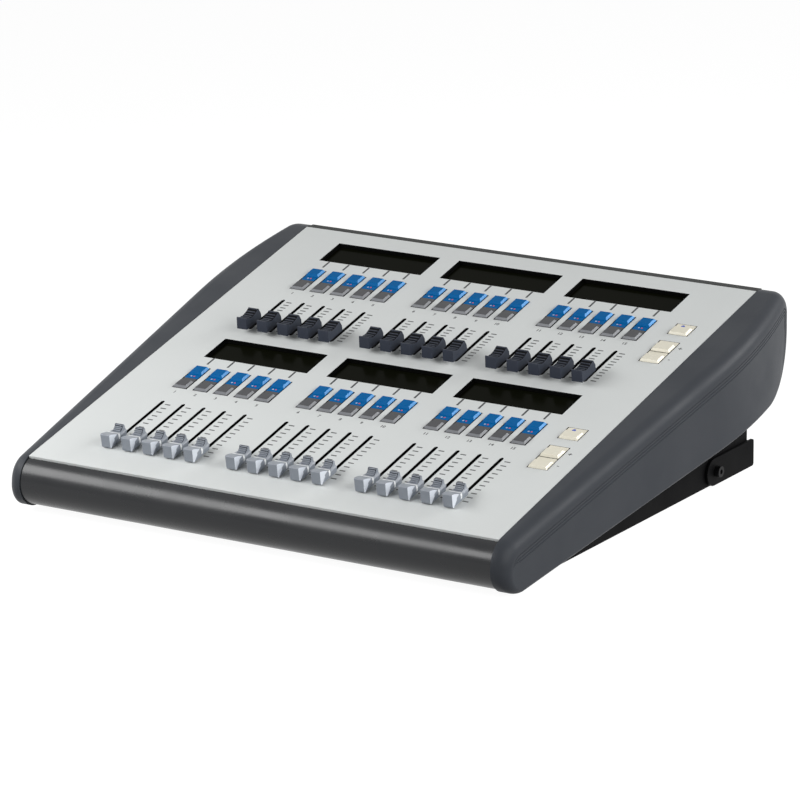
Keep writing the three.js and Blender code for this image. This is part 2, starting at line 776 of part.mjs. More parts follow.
function displayModules(name, shift) {
  const top = -panel.thickness - seat;
  const glassLow = top - displayModule.glassDepth;
  const margin = displayModule.margin;
  const low = display.front + shift - margin;
  const high = display.front + shift + display.length + margin;
  const pieces = [];
  for (let bank = 0; bank < channels.banks; bank += 1) {
    const middle = bankMiddle(bank);
    const half = displayWidth / 2 + margin;
    pieces.push(block([middle - half, low, glassLow], [middle + half, high, top]));
  }
  const reach = displayWidth / 2 + displayModule.boardMargin;
  pieces.push(block(
    [bankMiddle(0) - reach, low - margin, glassLow - displayModule.boardThickness],
    [bankMiddle(channels.banks - 1) + reach, high + margin, glassLow],
  ));
  return finish(name, geometryOf(joinAll(pieces)), 0x10110d, 0.2, 0);
}

// Board with the fader bodies, each grooved for its lever, and a switch under every key.
function controlBoard(name, fader, shift) {
  const xs = allChannels();
  const roof = -panel.thickness - seat;
  const floor = -board.depth;
  const switchTop = -keyCap.skirtDepth - keyBar.height / 2 - keyTravel - seat;
  const bodyFront = slotFront(fader) - faderBody.endMargin;
  const bodyRear = slotFront(fader) + slotLength(fader) + faderBody.endMargin;
  const pieces = [block(
    [xs[0] - board.sideMargin, bodyFront - board.frontMargin, floor - board.thickness],
    [
      pageCentre + pageHole.width / 2,
      keyHole.front + shift + keyHoleLength + board.rearMargin,
      floor,
    ],
  )];
  const half = faderBody.width / 2;
  const grooves = [];
  for (const x of xs) {
    pieces.push(block([x - half, bodyFront, floor], [x + half, bodyRear, roof]));
    grooves.push(block(
      [x - faderBody.grooveWidth / 2, slotFront(fader), floor + faderBody.grooveFloor],
      [x + faderBody.grooveWidth / 2, slotFront(fader) + slotLength(fader), roof + overrun],
    ));
  }
  const switchPlaces = [];
  for (const x of xs) {
    switchPlaces.push([x, keyHole.front + shift + keyHole.greyLength / 2]);
    switchPlaces.push([x, keyHole.front + shift + keyHoleLength - keyHole.blueLength / 2]);
  }
  for (const front of pageKeyFronts()) {
    switchPlaces.push([pageCentre, front + shift + pageHole.length / 2]);
  }
  const size = keySwitch.size / 2;
  for (const [x, y] of switchPlaces) {
    pieces.push(block([x - size, y - size, floor], [x + size, y + size, switchTop]));
  }
  const solid = joinAll(pieces).subtract(joinAll(grooves));
  return finish(name, geometryOf(solid), 0x1e5b39, 0.6, 0);
}

// The supply lies on the chassis floor, and its inlet and switch come out through the rear wall.
function powerSupply() {
  const low = chassisFloor + chassis.sheet + seat;
  const rear = chassisRear - chassis.sheet - supply.wallClearance;
  const can = block(
    [supplyCentre - supply.width / 2, rear - supply.length, low],
    [supplyCentre + supply.width / 2, rear, inlet.centreHeight + inlet.height / 2 + overrun],
  );
  const face = chassisRear + inlet.proud;
  const nozzle = block(
    [supplyCentre - inlet.width / 2, rear - overrun, inlet.centreHeight - inlet.height / 2],
    [supplyCentre + inlet.width / 2, face, inlet.centreHeight + inlet.height / 2],
  );
  const mouthX = supplyCentre + inletMouth.shift;
  const mouth = block(
    [mouthX - inletMouth.width / 2, face - inletMouth.depth, inlet.centreHeight - inletMouth.height / 2],
    [mouthX + inletMouth.width / 2, face + overrun, inlet.centreHeight + inletMouth.height / 2],
  );
  const bayX = supplyCentre + switchBay.shift;
  const bay = block(
    [bayX - switchBay.width / 2, face - switchBay.depth, inlet.centreHeight - switchBay.height / 2],
    [bayX + switchBay.width / 2, face + overrun, inlet.centreHeight + switchBay.height / 2],
  );
  const pinRoot = face - inletMouth.depth - overrun;
  const pinTip = face - inletMouth.depth + inletPin.length;
  const pins = [-1, 0, 1].map((place) => {
    const x = mouthX + place * inletPin.spread;
    const z = inlet.centreHeight + (place ? -inletPin.centreDrop : inletPin.centreDrop);
    return block(
      [x - inletPin.width / 2, pinRoot, z - inletPin.height / 2],
      [x + inletPin.width / 2, pinTip, z + inletPin.height / 2],
    );
  });
  const solid = joinAll([can.add(nozzle).subtract(mouth).subtract(bay), ...pins]);
  return finish('power_supply', geometryOf(solid), 0x2a2a2d, 0.5, 0.2);
}

// A rocker whose two faces lean away from its pivot, standing at rest with one end pressed in.
function powerSwitch() {
  const face = chassisRear + inlet.proud;
  const half = switchBay.width / 2 - rocker.gap;
  const lean = THREE.MathUtils.degToRad(rocker.sweepDegrees / 2);
  const rootHalf = half * rocker.rootShare;
  const tipRise = half * Math.tan(lean);
  const outline = [
    [-half, tipRise],
    [-rootHalf, -rocker.pivotDepth],
    [rootHalf, -rocker.pivotDepth],
    [half, tipRise],
    [0, -rocker.valleyDepth],
  ].map(([x, y]) => new THREE.Vector2(x, y));
  const height = switchBay.height - 2 * rocker.gap;
  const shape = new THREE.Shape(outline);
  const geometry = new THREE.ExtrudeGeometry(shape, { depth: height, bevelEnabled: false });
  geometry.translate(0, 0, -height / 2);
  geometry.rotateZ(lean);
  geometry.translate(supplyCentre + switchBay.shift, face, inlet.centreHeight);
  return finish('power_switch', geometry, 0x121214, 0.4, 0);
}

function dataSocketMesh() {
  const x = dataCentre;
  const z = dataSocket.centreHeight;
  const wall = chassisRear + seat;
  const face = wall + dataSocket.plate;
  const backEnd = face - dataMouth.depth - dataBody.backWall;
  const plate = block(
    [x - dataSocket.width / 2, wall, z - dataSocket.height / 2],
    [x + dataSocket.width / 2, face, z + dataSocket.height / 2],
  );
  const body = block(
    [x - dataBody.width / 2, backEnd, z - dataBody.height / 2],
    [x + dataBody.width / 2, wall + seat, z + dataBody.height / 2],
  );
  const mouth = block(
    [x - dataMouth.width / 2, face - dataMouth.depth, z - dataMouth.height / 2],
    [x + dataMouth.width / 2, face + overrun, z + dataMouth.height / 2],
  );
  return finish('data_socket', geometryOf(plate.add(body).subtract(mouth)), 0x1b1b1d, 0.45, 0.4);
}

deck.add(topPanel());
deck.add(displayModules('lower_display_modules', 0));
deck.add(displayModules('upper_display_modules', sectionPitch));
deck.add(controlBoard('lower_control_board', lowerFader, 0));
deck.add(controlBoard('upper_control_board', upperFader, sectionPitch));

const lowerKnobSolid = knobSolid(lowerKnob, lowerKnobShares, lowerLeverShare, lowerSideShare, lowerKnobPlan())
  .add(leverSolid(lowerKnob));
const upperKnobSolid = knobSolid(upperKnob, upperKnobShares, upperLeverShare, upperSideShare)
  .add(leverSolid(upperKnob));
deck.add(...faderMeshes('lower', lowerFader, geometryOf(lowerKnobSolid), 0x9ba1a9));
deck.add(...faderMeshes('upper', upperFader, geometryOf(upperKnobSolid), 0x3b3e46));

for (const [label, shift] of [['lower', 0], ['upper', sectionPitch]]) {
  const greyFront = keyHole.front + shift;
  const blueFront = greyFront + keyHole.greyLength;
  deck.add(keyRow(`${label}_grey_keys`, greyFront, keyHole.greyLength, false, 0x65676b));
  deck.add(keyRow(`${label}_blue_keys`, blueFront, keyHole.blueLength, true, 0x0a62ad));
  const [single, rear, front] = pageKeyFronts();
  deck.add(pageKey(`${label}_select_key`, single + shift));
  deck.add(pageKey(`${label}_plus_key`, rear + shift));
  deck.add(pageKey(`${label}_minus_key`, front + shift));
}

wing.add(finish('left_cheek', cheekGeometry(-1), 0x46494d, 0.6, 0));
wing.add(finish('right_cheek', cheekGeometry(1), 0x46494d, 0.6, 0));
wing.add(frontRail());
wing.add(chassisTray());
wing.add(rearPanel());
wing.add(tiltStand());
wing.add(pivotScrewMesh(-1));
wing.add(pivotScrewMesh(1));
for (const [sideName, side] of [['left', -1], ['right', 1]]) {
  const x = side * (chassisHalf - foot.inset);
  wing.add(footMesh(`front_${sideName}_foot`, x, chassis.front + foot.frontInset));
  wing.add(footMesh(`rear_${sideName}_foot`, x, chassisSeam - foot.rearInset));
}
wing.add(powerSupply());
wing.add(powerSwitch());
wing.add(dataSocketMesh());

export default wing;
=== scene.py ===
# %% [markdown]
# # A lighting fader wing, dressed around its frame
#
# The frame holds every part of the wing at its real size. This lesson gives those parts their looks. Some are
# already the right shape and only need a finish. Others are rounded, ribbed or bevelled on the real wing, so
# a finer mesh takes their place.

# %% Load the frame
import json
import math

import bmesh
import bpy
from mathutils import Matrix, Vector


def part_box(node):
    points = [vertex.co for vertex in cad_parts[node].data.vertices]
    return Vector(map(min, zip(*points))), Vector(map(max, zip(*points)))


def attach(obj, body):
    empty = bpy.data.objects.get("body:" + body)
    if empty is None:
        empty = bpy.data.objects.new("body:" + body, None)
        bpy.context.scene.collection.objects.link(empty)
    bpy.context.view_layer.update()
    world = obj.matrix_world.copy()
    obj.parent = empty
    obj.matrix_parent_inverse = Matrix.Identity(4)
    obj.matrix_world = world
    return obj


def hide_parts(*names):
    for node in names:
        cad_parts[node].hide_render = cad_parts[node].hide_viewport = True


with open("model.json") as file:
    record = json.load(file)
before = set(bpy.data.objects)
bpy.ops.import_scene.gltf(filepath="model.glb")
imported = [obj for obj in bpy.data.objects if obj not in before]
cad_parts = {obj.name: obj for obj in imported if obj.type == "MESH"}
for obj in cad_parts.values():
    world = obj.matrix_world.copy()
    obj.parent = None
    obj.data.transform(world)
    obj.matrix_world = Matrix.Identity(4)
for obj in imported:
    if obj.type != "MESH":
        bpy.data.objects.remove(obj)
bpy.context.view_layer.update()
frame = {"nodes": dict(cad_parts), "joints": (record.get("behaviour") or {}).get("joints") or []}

MM = 0.001

# %% [markdown]
# ## The panel's own axes
#
# Nearly everything sits on the sloping panel. It is easier to model a key as if the panel lay flat, and to
# lean the finished mesh back in one step. The frame gives the slope, since a fader slides along it. So one
# matrix takes a point from panel axes (across, up the slope, off the surface) to the frame.

# %% Panel axes from the frame
panel_thickness = 2 * MM
panel_low, panel_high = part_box("top_panel")
slide = next(joint for joint in frame["joints"] if joint["name"] == "lower_fader_01_slide")
up_slope = Vector(slide["axis"]).normalized()
off_panel = Vector((0, -up_slope.z, up_slope.y))
panel_front = Vector((0, panel_low.y, panel_low.z + panel_thickness * up_slope.y))
panel_axes = Matrix((
    (1, 0, 0, 0),
    (0, up_slope.y, off_panel.y, panel_front.y),
    (0, up_slope.z, off_panel.z, panel_front.z),
    (0, 0, 0, 1),
))
panel_half = panel_high.x
panel_length = (panel_high.y - panel_low.y - panel_thickness * up_slope.z) / up_slope.y
tilt = math.atan2(up_slope.z, up_slope.y)
print("panel slope in degrees:", round(math.degrees(tilt), 2))


def place_on_panel(name):
    """A frame part's two corners and its middle, in panel axes."""
    back = panel_axes.inverted()
    points = [back @ vertex.co for vertex in frame["nodes"][name].data.vertices]
    low = Vector(min(point[axis] for point in points) for axis in range(3))
    high = Vector(max(point[axis] for point in points) for axis in range(3))
    return low, high, (low + high) / 2


# %% [markdown]
# ## Camera
#
# The photograph was taken with a long lens from the front right, a little above the wing. A long lens keeps
# the panel's edges nearly parallel. The camera is placed by its bearing, its height angle and its distance.

# %% Camera
def new_object(name, data):
    """An object at the origin, in the scene."""
    made = bpy.data.objects.new(name, data)
    bpy.context.scene.collection.objects.link(made)
    return made


camera_bearing = math.radians(32.27)
camera_rise = math.radians(15.951)
camera_roll = math.radians(0.5695)
camera_distance = 3.737
camera_target = Vector((0.00087, panel_front.y + 0.19773, 0.07086))

sight = Vector((
    math.sin(camera_bearing) * math.cos(camera_rise),
    -math.cos(camera_bearing) * math.cos(camera_rise),
    math.sin(camera_rise),
))
level = Vector((math.cos(camera_bearing), math.sin(camera_bearing), 0))
upright = sight.cross(level)
camera_up = upright * math.cos(camera_roll) + level * math.sin(camera_roll)
camera_right = camera_up.cross(sight)
camera_data = bpy.data.cameras.new("photo_camera")
camera_data.lens = 218.715
camera_data.sensor_width = 36
camera = new_object("photo_camera", camera_data)
camera.matrix_world = Matrix.Translation(camera_target + sight * camera_distance) @ Matrix(
    (camera_right, camera_up, sight)
).transposed().to_4x4()
bpy.context.scene.camera = camera
bpy.context.scene.view_settings.view_transform = "Standard"
print("camera at", [round(value, 3) for value in camera.matrix_world.translation])

# %% [markdown]
# ## Small helpers for materials
#
# Colours are picked as sRGB hex values, as a paint chart gives them, and the renderer wants them linear. One
# function turns them. A second one adds a shader node, sets it and links its sockets, so that each finish
# below reads as a short list of steps.


# %% Colour and node helpers
def linear(hex_colour):
    """A linear RGBA colour from an sRGB hex value."""
    parts = [int(hex_colour[start:start + 2], 16) / 255 for start in (1, 3, 5)]
    straight = [part / 12.92 if part <= 0.04045 else ((part + 0.055) / 1.055) ** 2.4 for part in parts]
    return (*straight, 1.0)


def add(tree, kind, sockets=None, **settings):
    """Adds a node, sets its properties, and fills its sockets with values or with other nodes' outputs."""
    made = tree.nodes.new(kind)
    for name, value in settings.items():
        setattr(made, name, value)
    for key, value in (sockets or {}).items():
        if isinstance(value, bpy.types.NodeSocket):
            tree.links.new(value, made.inputs[key])
        else:
            made.inputs[key].default_value = value
    return made


def empty_tree(owner):
    """The cleared node tree of a material or a world."""
    owner.use_nodes = True
    owner.node_tree.nodes.clear()
    return owner.node_tree


def new_finish(name, **constants):
    """An empty material with a Principled shader, whose even values are set on its own sockets."""
    made = bpy.data.materials.new(name)
    tree = empty_tree(made)
    shader = add(tree, "ShaderNodeBsdfPrincipled")
    for key, value in constants.items():
        shader.inputs[key.replace("_", " ")].default_value = value
    add(tree, "ShaderNodeOutputMaterial", {"Surface": shader.outputs[0]})
    return made, tree, shader


print("mid grey in linear light:", round(linear("#808080")[0], 3))

# %% [markdown]
# ## Grained finishes
#
# Moulded plastic and powder coat both look smooth from afar and are not. Moulds are spark-eroded to a fine
# grain, and powder melts to a slightly pebbled skin. Both are drawn the same way: a fine noise for the
# relief, and a broad one that shifts colour and roughness a little, as handling and flow do. Every noise
# starts from the place on the object, in metres, so its bumps have a size in millimetres. A real grain is
# about 0.1 mm and too fine for this render, so each is drawn at 0.3 mm or coarser.
# To the eye, the cheeks' ABS is a soft dark grey, and the rail's satin coat is darker but has a long clear
# gleam. Textured black coat and blackened steel are nearly black, and the steel has a faint sheen. Rubber has
# none at all, nylon is a little greyer, and the socket's black chrome has a dull metal shine.


# %% Grained finish
def grained(
    name, colour, shade, roughness, grain_mm, relief_mm, cloud_mm=45, spread=0.06, gloss=0.5, metal=0.0,
):
    """A grained surface between two close colours. Grain and cloud are the sizes of its two noises."""
    made, tree, shader = new_finish(name, Specular_IOR_Level=gloss, Metallic=metal)
    spot = add(tree, "ShaderNodeTexCoord").outputs["Object"]
    cloud = add(tree, "ShaderNodeTexNoise", {"Vector": spot, "Scale": 1 / (cloud_mm * MM), "Detail": 3.0})
    grain = add(tree, "ShaderNodeTexNoise", {"Vector": spot, "Scale": 1 / (grain_mm * MM), "Detail": 2.0})
    colours = add(tree, "ShaderNodeMix", {
        0: cloud.outputs[0], 6: linear(shade), 7: linear(colour),
    }, data_type="RGBA")
    rough = add(tree, "ShaderNodeMapRange", {
        "Value": cloud.outputs[0], "From Min": 0.3, "From Max": 0.7,
        "To Min": roughness + spread, "To Max": roughness - spread,
    })
    relief = add(tree, "ShaderNodeBump", {"Height": grain.outputs[0], "Distance": relief_mm * MM})
    tree.links.new(colours.outputs[2], shader.inputs["Base Color"])
    tree.links.new(rough.outputs[0], shader.inputs["Roughness"])
    tree.links.new(relief.outputs[0], shader.inputs["Normal"])
    return made


cheek_finish = grained("moulded_abs_fine_grain", "#3a3d42", "#35383d", 0.45, 0.5, 0.02, gloss=0.13)
rail_finish = grained("satin_powder_coat_dark_grey", "#131519", "#101215", 0.27, 0.6, 0.01, gloss=0.42)
chassis_finish = grained("textured_black_powder_coat", "#080809", "#060607", 0.6, 0.6, 0.05, gloss=0.05)
screw_finish = grained("black_oxide_steel", "#0e0e10", "#0a0a0b", 0.42, 0.4, 0.01, gloss=0.15, metal=0.2)
lever_finish = grained("black_oxide_steel_lever", "#0e0e10", "#0b0b0d", 0.5, 0.5, 0.01, gloss=0.1)
rubber_finish = grained("moulded_rubber_black", "#181818", "#121212", 0.85, 0.5, 0.05)
supply_finish = grained("moulded_nylon_black", "#2b2b2e", "#252528", 0.55, 0.4, 0.03)
socket_finish = grained("die_cast_black_chrome", "#2a2a2c", "#222224", 0.4, 0.4, 0.02, metal=0.5)
# Black trim for the slot seals, and painted shade for the gaps round the keys, as black blocks under them.
black_trim_and_gap_shade = grained("moulded_nylon_black_trim_and_gap_shade", "#060607", "#040405", 0.6, 0.4, 0.01, 12, gloss=0.04)

# %% [markdown]
# Knobs and keys are small, so their clouds are small too. The darker scoops and rib floors of the knobs are
# painted shade, and the pale cut corners a painted highlight. The clear polycarbonate keys have a deep colour
# on their flat tops, and their lighter bevels are a painted highlight. Ink lies flat, and has hardly any
# relief.

# %% Finishes of small parts
pale_knob_finish = grained("moulded_abs_light_grey", "#8a9099", "#828891", 0.34, 0.4, 0.012, 12)
# Painted highlight: the lower knobs' cut corners are coloured near white.
cut_corner_painted_highlight = grained("abs_light_grey_painted_highlight", "#dde2ea", "#d5dae2", 0.25, 0.4, 0.008, 12)
# Painted shade: the floor between the lower knobs' ribs is coloured darker.
rib_gap_painted_shade = grained("abs_grey_painted_shade", "#3c4047", "#35393f", 0.6, 0.5, 0.05, 12, gloss=0.1)
dark_knob_finish = grained("moulded_abs_charcoal", "#363b46", "#30343e", 0.4, 0.4, 0.012, 12, gloss=0.15)
# Painted shade: the upper knobs' scooped tops are coloured near black.
scoop_painted_shade = grained("abs_charcoal_painted_shade", "#101114", "#0c0d0f", 0.6, 0.5, 0.05, 12, gloss=0.06)
grey_key_finish = grained(
    "satin_polycarbonate_grey", "#47484b", "#404144", 0.24, 0.4, 0.003, 12, 0.03, gloss=0.16,
)
# Painted highlight: the grey pads' bevels are coloured lighter than the caps.
grey_bevel_painted_highlight = grained(
    "satin_polycarbonate_grey_painted_highlight", "#7c7e82", "#76787c", 0.32, 0.4, 0.001, 12, 0.02, gloss=0.2,
)
blue_key_finish = grained(
    "satin_polycarbonate_blue", "#0062a2", "#005b98", 0.24, 0.4, 0.003, 12, 0.03, gloss=0.02,
)
# Painted highlight: the blue pads' bevels are coloured lighter than the caps.
blue_bevel_painted_highlight = grained(
    "satin_polycarbonate_blue_painted_highlight", "#4496d8", "#3d8ccb", 0.32, 0.4, 0.001, 12, 0.02, gloss=0.2,
)
cream_key_finish = grained("satin_abs_cream", "#e4dfcd", "#ddd8c6", 0.3, 0.4, 0.01, 12)
grey_ink = grained("screen_ink_mid_grey", "#3c3e40", "#38393b", 0.5, 0.3, 0.005, 5)
dark_ink = grained("screen_ink_dark_grey", "#26282a", "#222426", 0.5, 0.3, 0.005, 5)
white_ink = grained("pad_printed_ink_white", "#eef0f0", "#e6e8e8", 0.45, 0.3, 0.005, 5)
red_mark = grained("printed_red_mark", "#cf4a62", "#bf3c54", 0.4, 0.4, 0.0, 4)
pale_mark = grained("printed_pale_mark", "#b4bdd6", "#a8b2cc", 0.4, 0.4, 0.0, 4)
blue_mark = grained("printed_blue_mark", "#2a4fb8", "#2344a4", 0.4, 0.4, 0.0, 4)
print("grained finishes:", len(bpy.data.materials))

# %% [markdown]
# ## The panel's finish
#
# The plate is powder-coated light grey on its top and its outer edges. The walls of its openings are coloured
# near black: painted shade, since light hardly reaches in there. The faces could each get their own slot, but
# the frame's mesh is best left alone. So the material tells a wall from the top by the direction that it
# faces, and an outer edge by its place. Its gloss is low, as on any matt powder.


# %% Panel finish
edge_strip = 1 * MM
panel_cloud = 70 * MM
panel_grain = 0.7 * MM
panel_relief = 0.012 * MM


def panel_paint():
    """Light powder coat on the top and outer edges, near-black painted shade on the openings' walls."""
    made, tree, shader = new_finish("powder_coated_steel_light_grey_with_painted_wall_shade", Specular_IOR_Level=0.15)
    spot = add(tree, "ShaderNodeTexCoord").outputs["Object"]
    facing = add(tree, "ShaderNodeNewGeometry").outputs["True Normal"]
    turned = add(tree, "ShaderNodeVectorMath", {0: facing, 1: off_panel}, operation="DOT_PRODUCT")
    is_top = add(tree, "ShaderNodeMath", {0: turned.outputs["Value"], 1: 0.5}, operation="GREATER_THAN")
    across = add(tree, "ShaderNodeSeparateXYZ", {0: spot})
    along = add(tree, "ShaderNodeVectorMath", {0: spot, 1: up_slope}, operation="DOT_PRODUCT")
    level = along.outputs["Value"]
    sides = add(tree, "ShaderNodeMath", {0: across.outputs[0]}, operation="ABSOLUTE")
    side_place = panel_half - edge_strip
    past_side = add(tree, "ShaderNodeMath", {0: sides.outputs[0], 1: side_place}, operation="GREATER_THAN")
    front_place = panel_front.dot(up_slope) + edge_strip
    at_front = add(tree, "ShaderNodeMath", {0: level, 1: front_place}, operation="LESS_THAN")
    rear_place = front_place + panel_length - 2 * edge_strip
    at_rear = add(tree, "ShaderNodeMath", {0: level, 1: rear_place}, operation="GREATER_THAN")
    painted = is_top
    for edge in (past_side, at_front, at_rear):
        either = {0: painted.outputs[0], 1: edge.outputs[0]}
        painted = add(tree, "ShaderNodeMath", either, operation="MAXIMUM")
    cloud = add(tree, "ShaderNodeTexNoise", {"Vector": spot, "Scale": 1 / panel_cloud, "Detail": 3.0})
    pebble = add(tree, "ShaderNodeTexNoise", {"Vector": spot, "Scale": 1 / panel_grain, "Detail": 2.0})
    paint = add(tree, "ShaderNodeMix", {
        0: cloud.outputs[0], 6: linear("#d3d6d5"), 7: linear("#d9dcdb"),
    }, data_type="RGBA")
    # Walls of the openings take #030303 here: painted shade where light hardly reaches, not a gasket.
    whole = add(tree, "ShaderNodeMix", {
        0: painted.outputs[0], 6: linear("#030303"), 7: paint.outputs[2],
    }, data_type="RGBA")
    rough = add(tree, "ShaderNodeMapRange", {"Value": cloud.outputs[0], "To Min": 0.5, "To Max": 0.4})
    relief = add(tree, "ShaderNodeBump", {"Height": pebble.outputs[0], "Distance": panel_relief})
    tree.links.new(whole.outputs[2], shader.inputs["Base Color"])
    tree.links.new(rough.outputs[0], shader.inputs["Roughness"])
    tree.links.new(relief.outputs[0], shader.inputs["Normal"])
    return made


panel_finish = panel_paint()
print("panel finish nodes:", len(panel_finish.node_tree.nodes))

# %% [markdown]
# ## Helpers for pieces
#
# Every new piece is built in a bmesh, in panel axes or in the frame's own. When it is done, it becomes an
# object at the origin, with its place in its mesh, and it rides on the body that carries it. Smooth shading
# stops at edges sharper than an angle, so that flat faces stay flat and rounded ones look round. Knobs and
# keys take a small angle, because a flat face that shares its shading with a fine bevel looks like a pillow.


# %% Piece helpers
plain_angle = 30
knob_angle = 12


def make_piece(name, shape, finishes, body, replaces, sharp_degrees=knob_angle, axes=panel_axes):
    """Turns a bmesh into a piece that rides on a body, smooth but for edges sharper than an angle."""
    if axes:
        shape.transform(axes)
    bmesh.ops.recalc_face_normals(shape, faces=shape.faces)
    mesh = bpy.data.meshes.new(name)
    shape.to_mesh(mesh)
    shape.free()
    for finish in finishes:
        mesh.materials.append(finish)
    mesh.shade_smooth()
    mesh.set_sharp_from_angle(angle=math.radians(sharp_degrees))
    piece = new_object(name, mesh)
    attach(piece, body)
    if replaces:
        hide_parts(*replaces)
    return piece


def give_finish(finish, *names):
    """Gives kept frame parts a finish through their material slots."""
    for name in names:
        for slot in frame["nodes"][name].material_slots:
            slot.material = finish


print("smooth up to", knob_angle, "degrees on knobs and keys")

# %% [markdown]
# Most shapes start as a block or as an outline run along X. Edges are then softened with a bevel, because no
# real edge is quite sharp, and a plane can cut a shape across where a later step needs more vertices.


# %% Shape helpers
def faces_at(verts):
    """Every face that touches some vertices."""
    return {face for vertex in verts for face in vertex.link_faces}


def soften(shape, edges, width_mm, segments=2):
    """Bevels some edges by a width in millimetres."""
    return bmesh.ops.bevel(
        shape, geom=list(edges), offset=width_mm * MM, affect="EDGES", segments=segments, profile=0.5,
        material=-1, clamp_overlap=True,
    )


def cut_across(shape, spot, direction):
    """Cuts the whole shape along a plane, without taking anything away."""
    bmesh.ops.bisect_plane(
        shape, geom=shape.verts[:] + shape.edges[:] + shape.faces[:], dist=1e-7,
        plane_co=spot, plane_no=direction,
    )


def fresh_verts(result):
    """The vertices that an operator has just made."""
    return [item for item in result["geom"] if isinstance(item, bmesh.types.BMVert)]


def around(middle, half):
    """The reach of something centred on a place."""
    return middle - half, middle + half


def add_block(shape, xs, ys, zs, finish=0, round_mm=0.0):
    """Adds a block that reaches from one place to another on each axis, with its edges rounded if asked."""
    low, high = (Vector(corner) for corner in zip(xs, ys, zs))
    spot = Matrix.Translation((low + high) / 2) @ Matrix.Diagonal((*(high - low), 1))
    made = bmesh.ops.create_cube(shape, size=1, matrix=spot)
    faces = faces_at(made["verts"])
    if round_mm:
        edges = {edge for vertex in made["verts"] for edge in vertex.link_edges}
        result = soften(shape, edges, round_mm, 1)
        faces = {face for face in faces if face.is_valid} | set(result["faces"])
    for face in faces:
        face.material_index = finish
    return list({vertex for face in faces for vertex in face.verts})


def add_run(shape, outline, xs):
    """Adds a straight run along X of a closed outline of (Y, Z) points."""
    face = shape.faces.new([shape.verts.new((xs[0], y, z)) for y, z in outline])
    moved = fresh_verts(bmesh.ops.extrude_face_region(shape, geom=[face]))
    bmesh.ops.translate(shape, verts=moved, vec=(xs[1] - xs[0], 0, 0))


print("a block of 4 mm reaches", around(0, 2 * MM))

# %% [markdown]
# ## Cheeks
#
# Each cheek is one moulded end cap. Seen from the side, its rim is a small nose arc, a straight underside, a
# wide heel arc, a tight crown arc and a straight top that follows the panel. A bevel would roll its edge
# evenly, and the real one is wider in some places. So the cheek is a stack of rings: the rim is extruded
# again and again, and each ring steps in a little. In the end it is flared, as it gets wider to the rear.

# %% Cheek sizes
cheek_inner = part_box("right_cheek")[0].x
cheek_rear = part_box("right_cheek")[1].y
cheek_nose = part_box("right_cheek")[0].y
front_thickness = 13.1 * MM
flare_thickness = 31.9 * MM
flare_end = 274 * MM
tail_radius = 397 * MM
nose_radius = 21.2 * MM
heel_radius = 57.5 * MM
crown_radius = 18.3 * MM
underside_rise = math.radians(8.75)
nose_steps, heel_steps, crown_steps = 44, 28, 28
quarter = math.pi / 2
facing_top = quarter + tilt
facing_nose = 2 * quarter
facing_under = 3 * quarter + underside_rise
facing_rear = 4 * quarter
facing_end = facing_rear + facing_top
edge_stops = (
    (facing_top, 11.4 * MM),
    (facing_nose, 10.8 * MM),
    (facing_under, 3 * MM),
    (facing_rear, 11 * MM),
    (facing_end, 11.4 * MM),
)
groove_fade_front = 0.35
groove_fade_rear = 0.9
groove_stops = (
    (facing_top, 1.0),
    (facing_top + groove_fade_front, 1.0),
    (facing_nose, 0.0),
    (facing_rear - groove_fade_rear, 0.0),
    (facing_rear, 1.0),
    (facing_end, 1.0),
)


def between_stops(stops, facing):
    """The value at a direction, run straight between the stops on either side."""
    for (start, low), (end, high) in zip(stops, stops[1:]):
        if facing <= end + 1e-6:
            return low + (high - low) * max(0.0, facing - start) / (end - start)
    return stops[-1][1]


def under_panel(y, depth):
    """Height of a level that lies this deep under the panel's top surface."""
    return panel_front.z + (y - panel_front.y) * math.tan(tilt) - depth / math.cos(tilt)


def cheek_flare(y):
    """How much further out the side stands here than at the panel's front edge."""
    along = y - panel_front.y
    past = max(0.0, along - flare_end)
    return (flare_thickness - front_thickness) / flare_end * along - past * past / (2 * tail_radius)


print("cheek from nose to rear in mm:", round((cheek_rear - cheek_nose) / MM, 1))


# %% Cheek rim
def spin_arc(shape, x, y, z, radius, start, end, steps):
    """Spins one vertex into an arc, and returns its vertices with the directions that they face."""
    centre = Vector((x, y, z))
    first = shape.verts.new(centre + radius * Vector((0, math.cos(start), math.sin(start))))
    before = len(shape.verts)
    bmesh.ops.spin(shape, geom=[first], cent=centre, axis=(1, 0, 0), angle=end - start, steps=steps)
    shape.verts.ensure_lookup_table()
    turned = [first] + shape.verts[before:]
    return [(vertex, start + (end - start) * step / steps) for step, vertex in enumerate(turned)]


def cheek_rim(shape):
    """The closed rim outline of a cheek, as (vertex, facing) pairs in order."""
    nose_y = cheek_nose + nose_radius
    nose_z = under_panel(nose_y, nose_radius)
    heel_y = cheek_rear - heel_radius
    heel_climb = (heel_y - nose_y) * math.sin(underside_rise) + heel_radius - nose_radius
    heel_z = nose_z + heel_climb / math.cos(underside_rise)
    crown_y = cheek_rear - crown_radius
    crown_z = under_panel(crown_y, crown_radius)
    rim = spin_arc(shape, cheek_inner, nose_y, nose_z, nose_radius, facing_top, facing_under, nose_steps)
    rim += spin_arc(shape, cheek_inner, heel_y, heel_z, heel_radius, facing_under, facing_rear, heel_steps)
    rim += spin_arc(shape, cheek_inner, crown_y, crown_z, crown_radius, facing_rear, facing_end, crown_steps)
    for (vertex, _), (after, _) in zip(rim, rim[1:] + rim[:1]):
        if not shape.edges.get((vertex, after)):
            shape.edges.new((vertex, after))
    return rim


print("steps round the rim:", nose_steps + heel_steps + crown_steps)

# %% [markdown]
# A groove is only a few extra rings: one steps down into the side, one steps out again. Each ring here is
# written as a distance past the rolled edge and a depth. Towards the nose and the heel the grooves fade out,
# so both numbers shrink there with the direction that the rim faces.

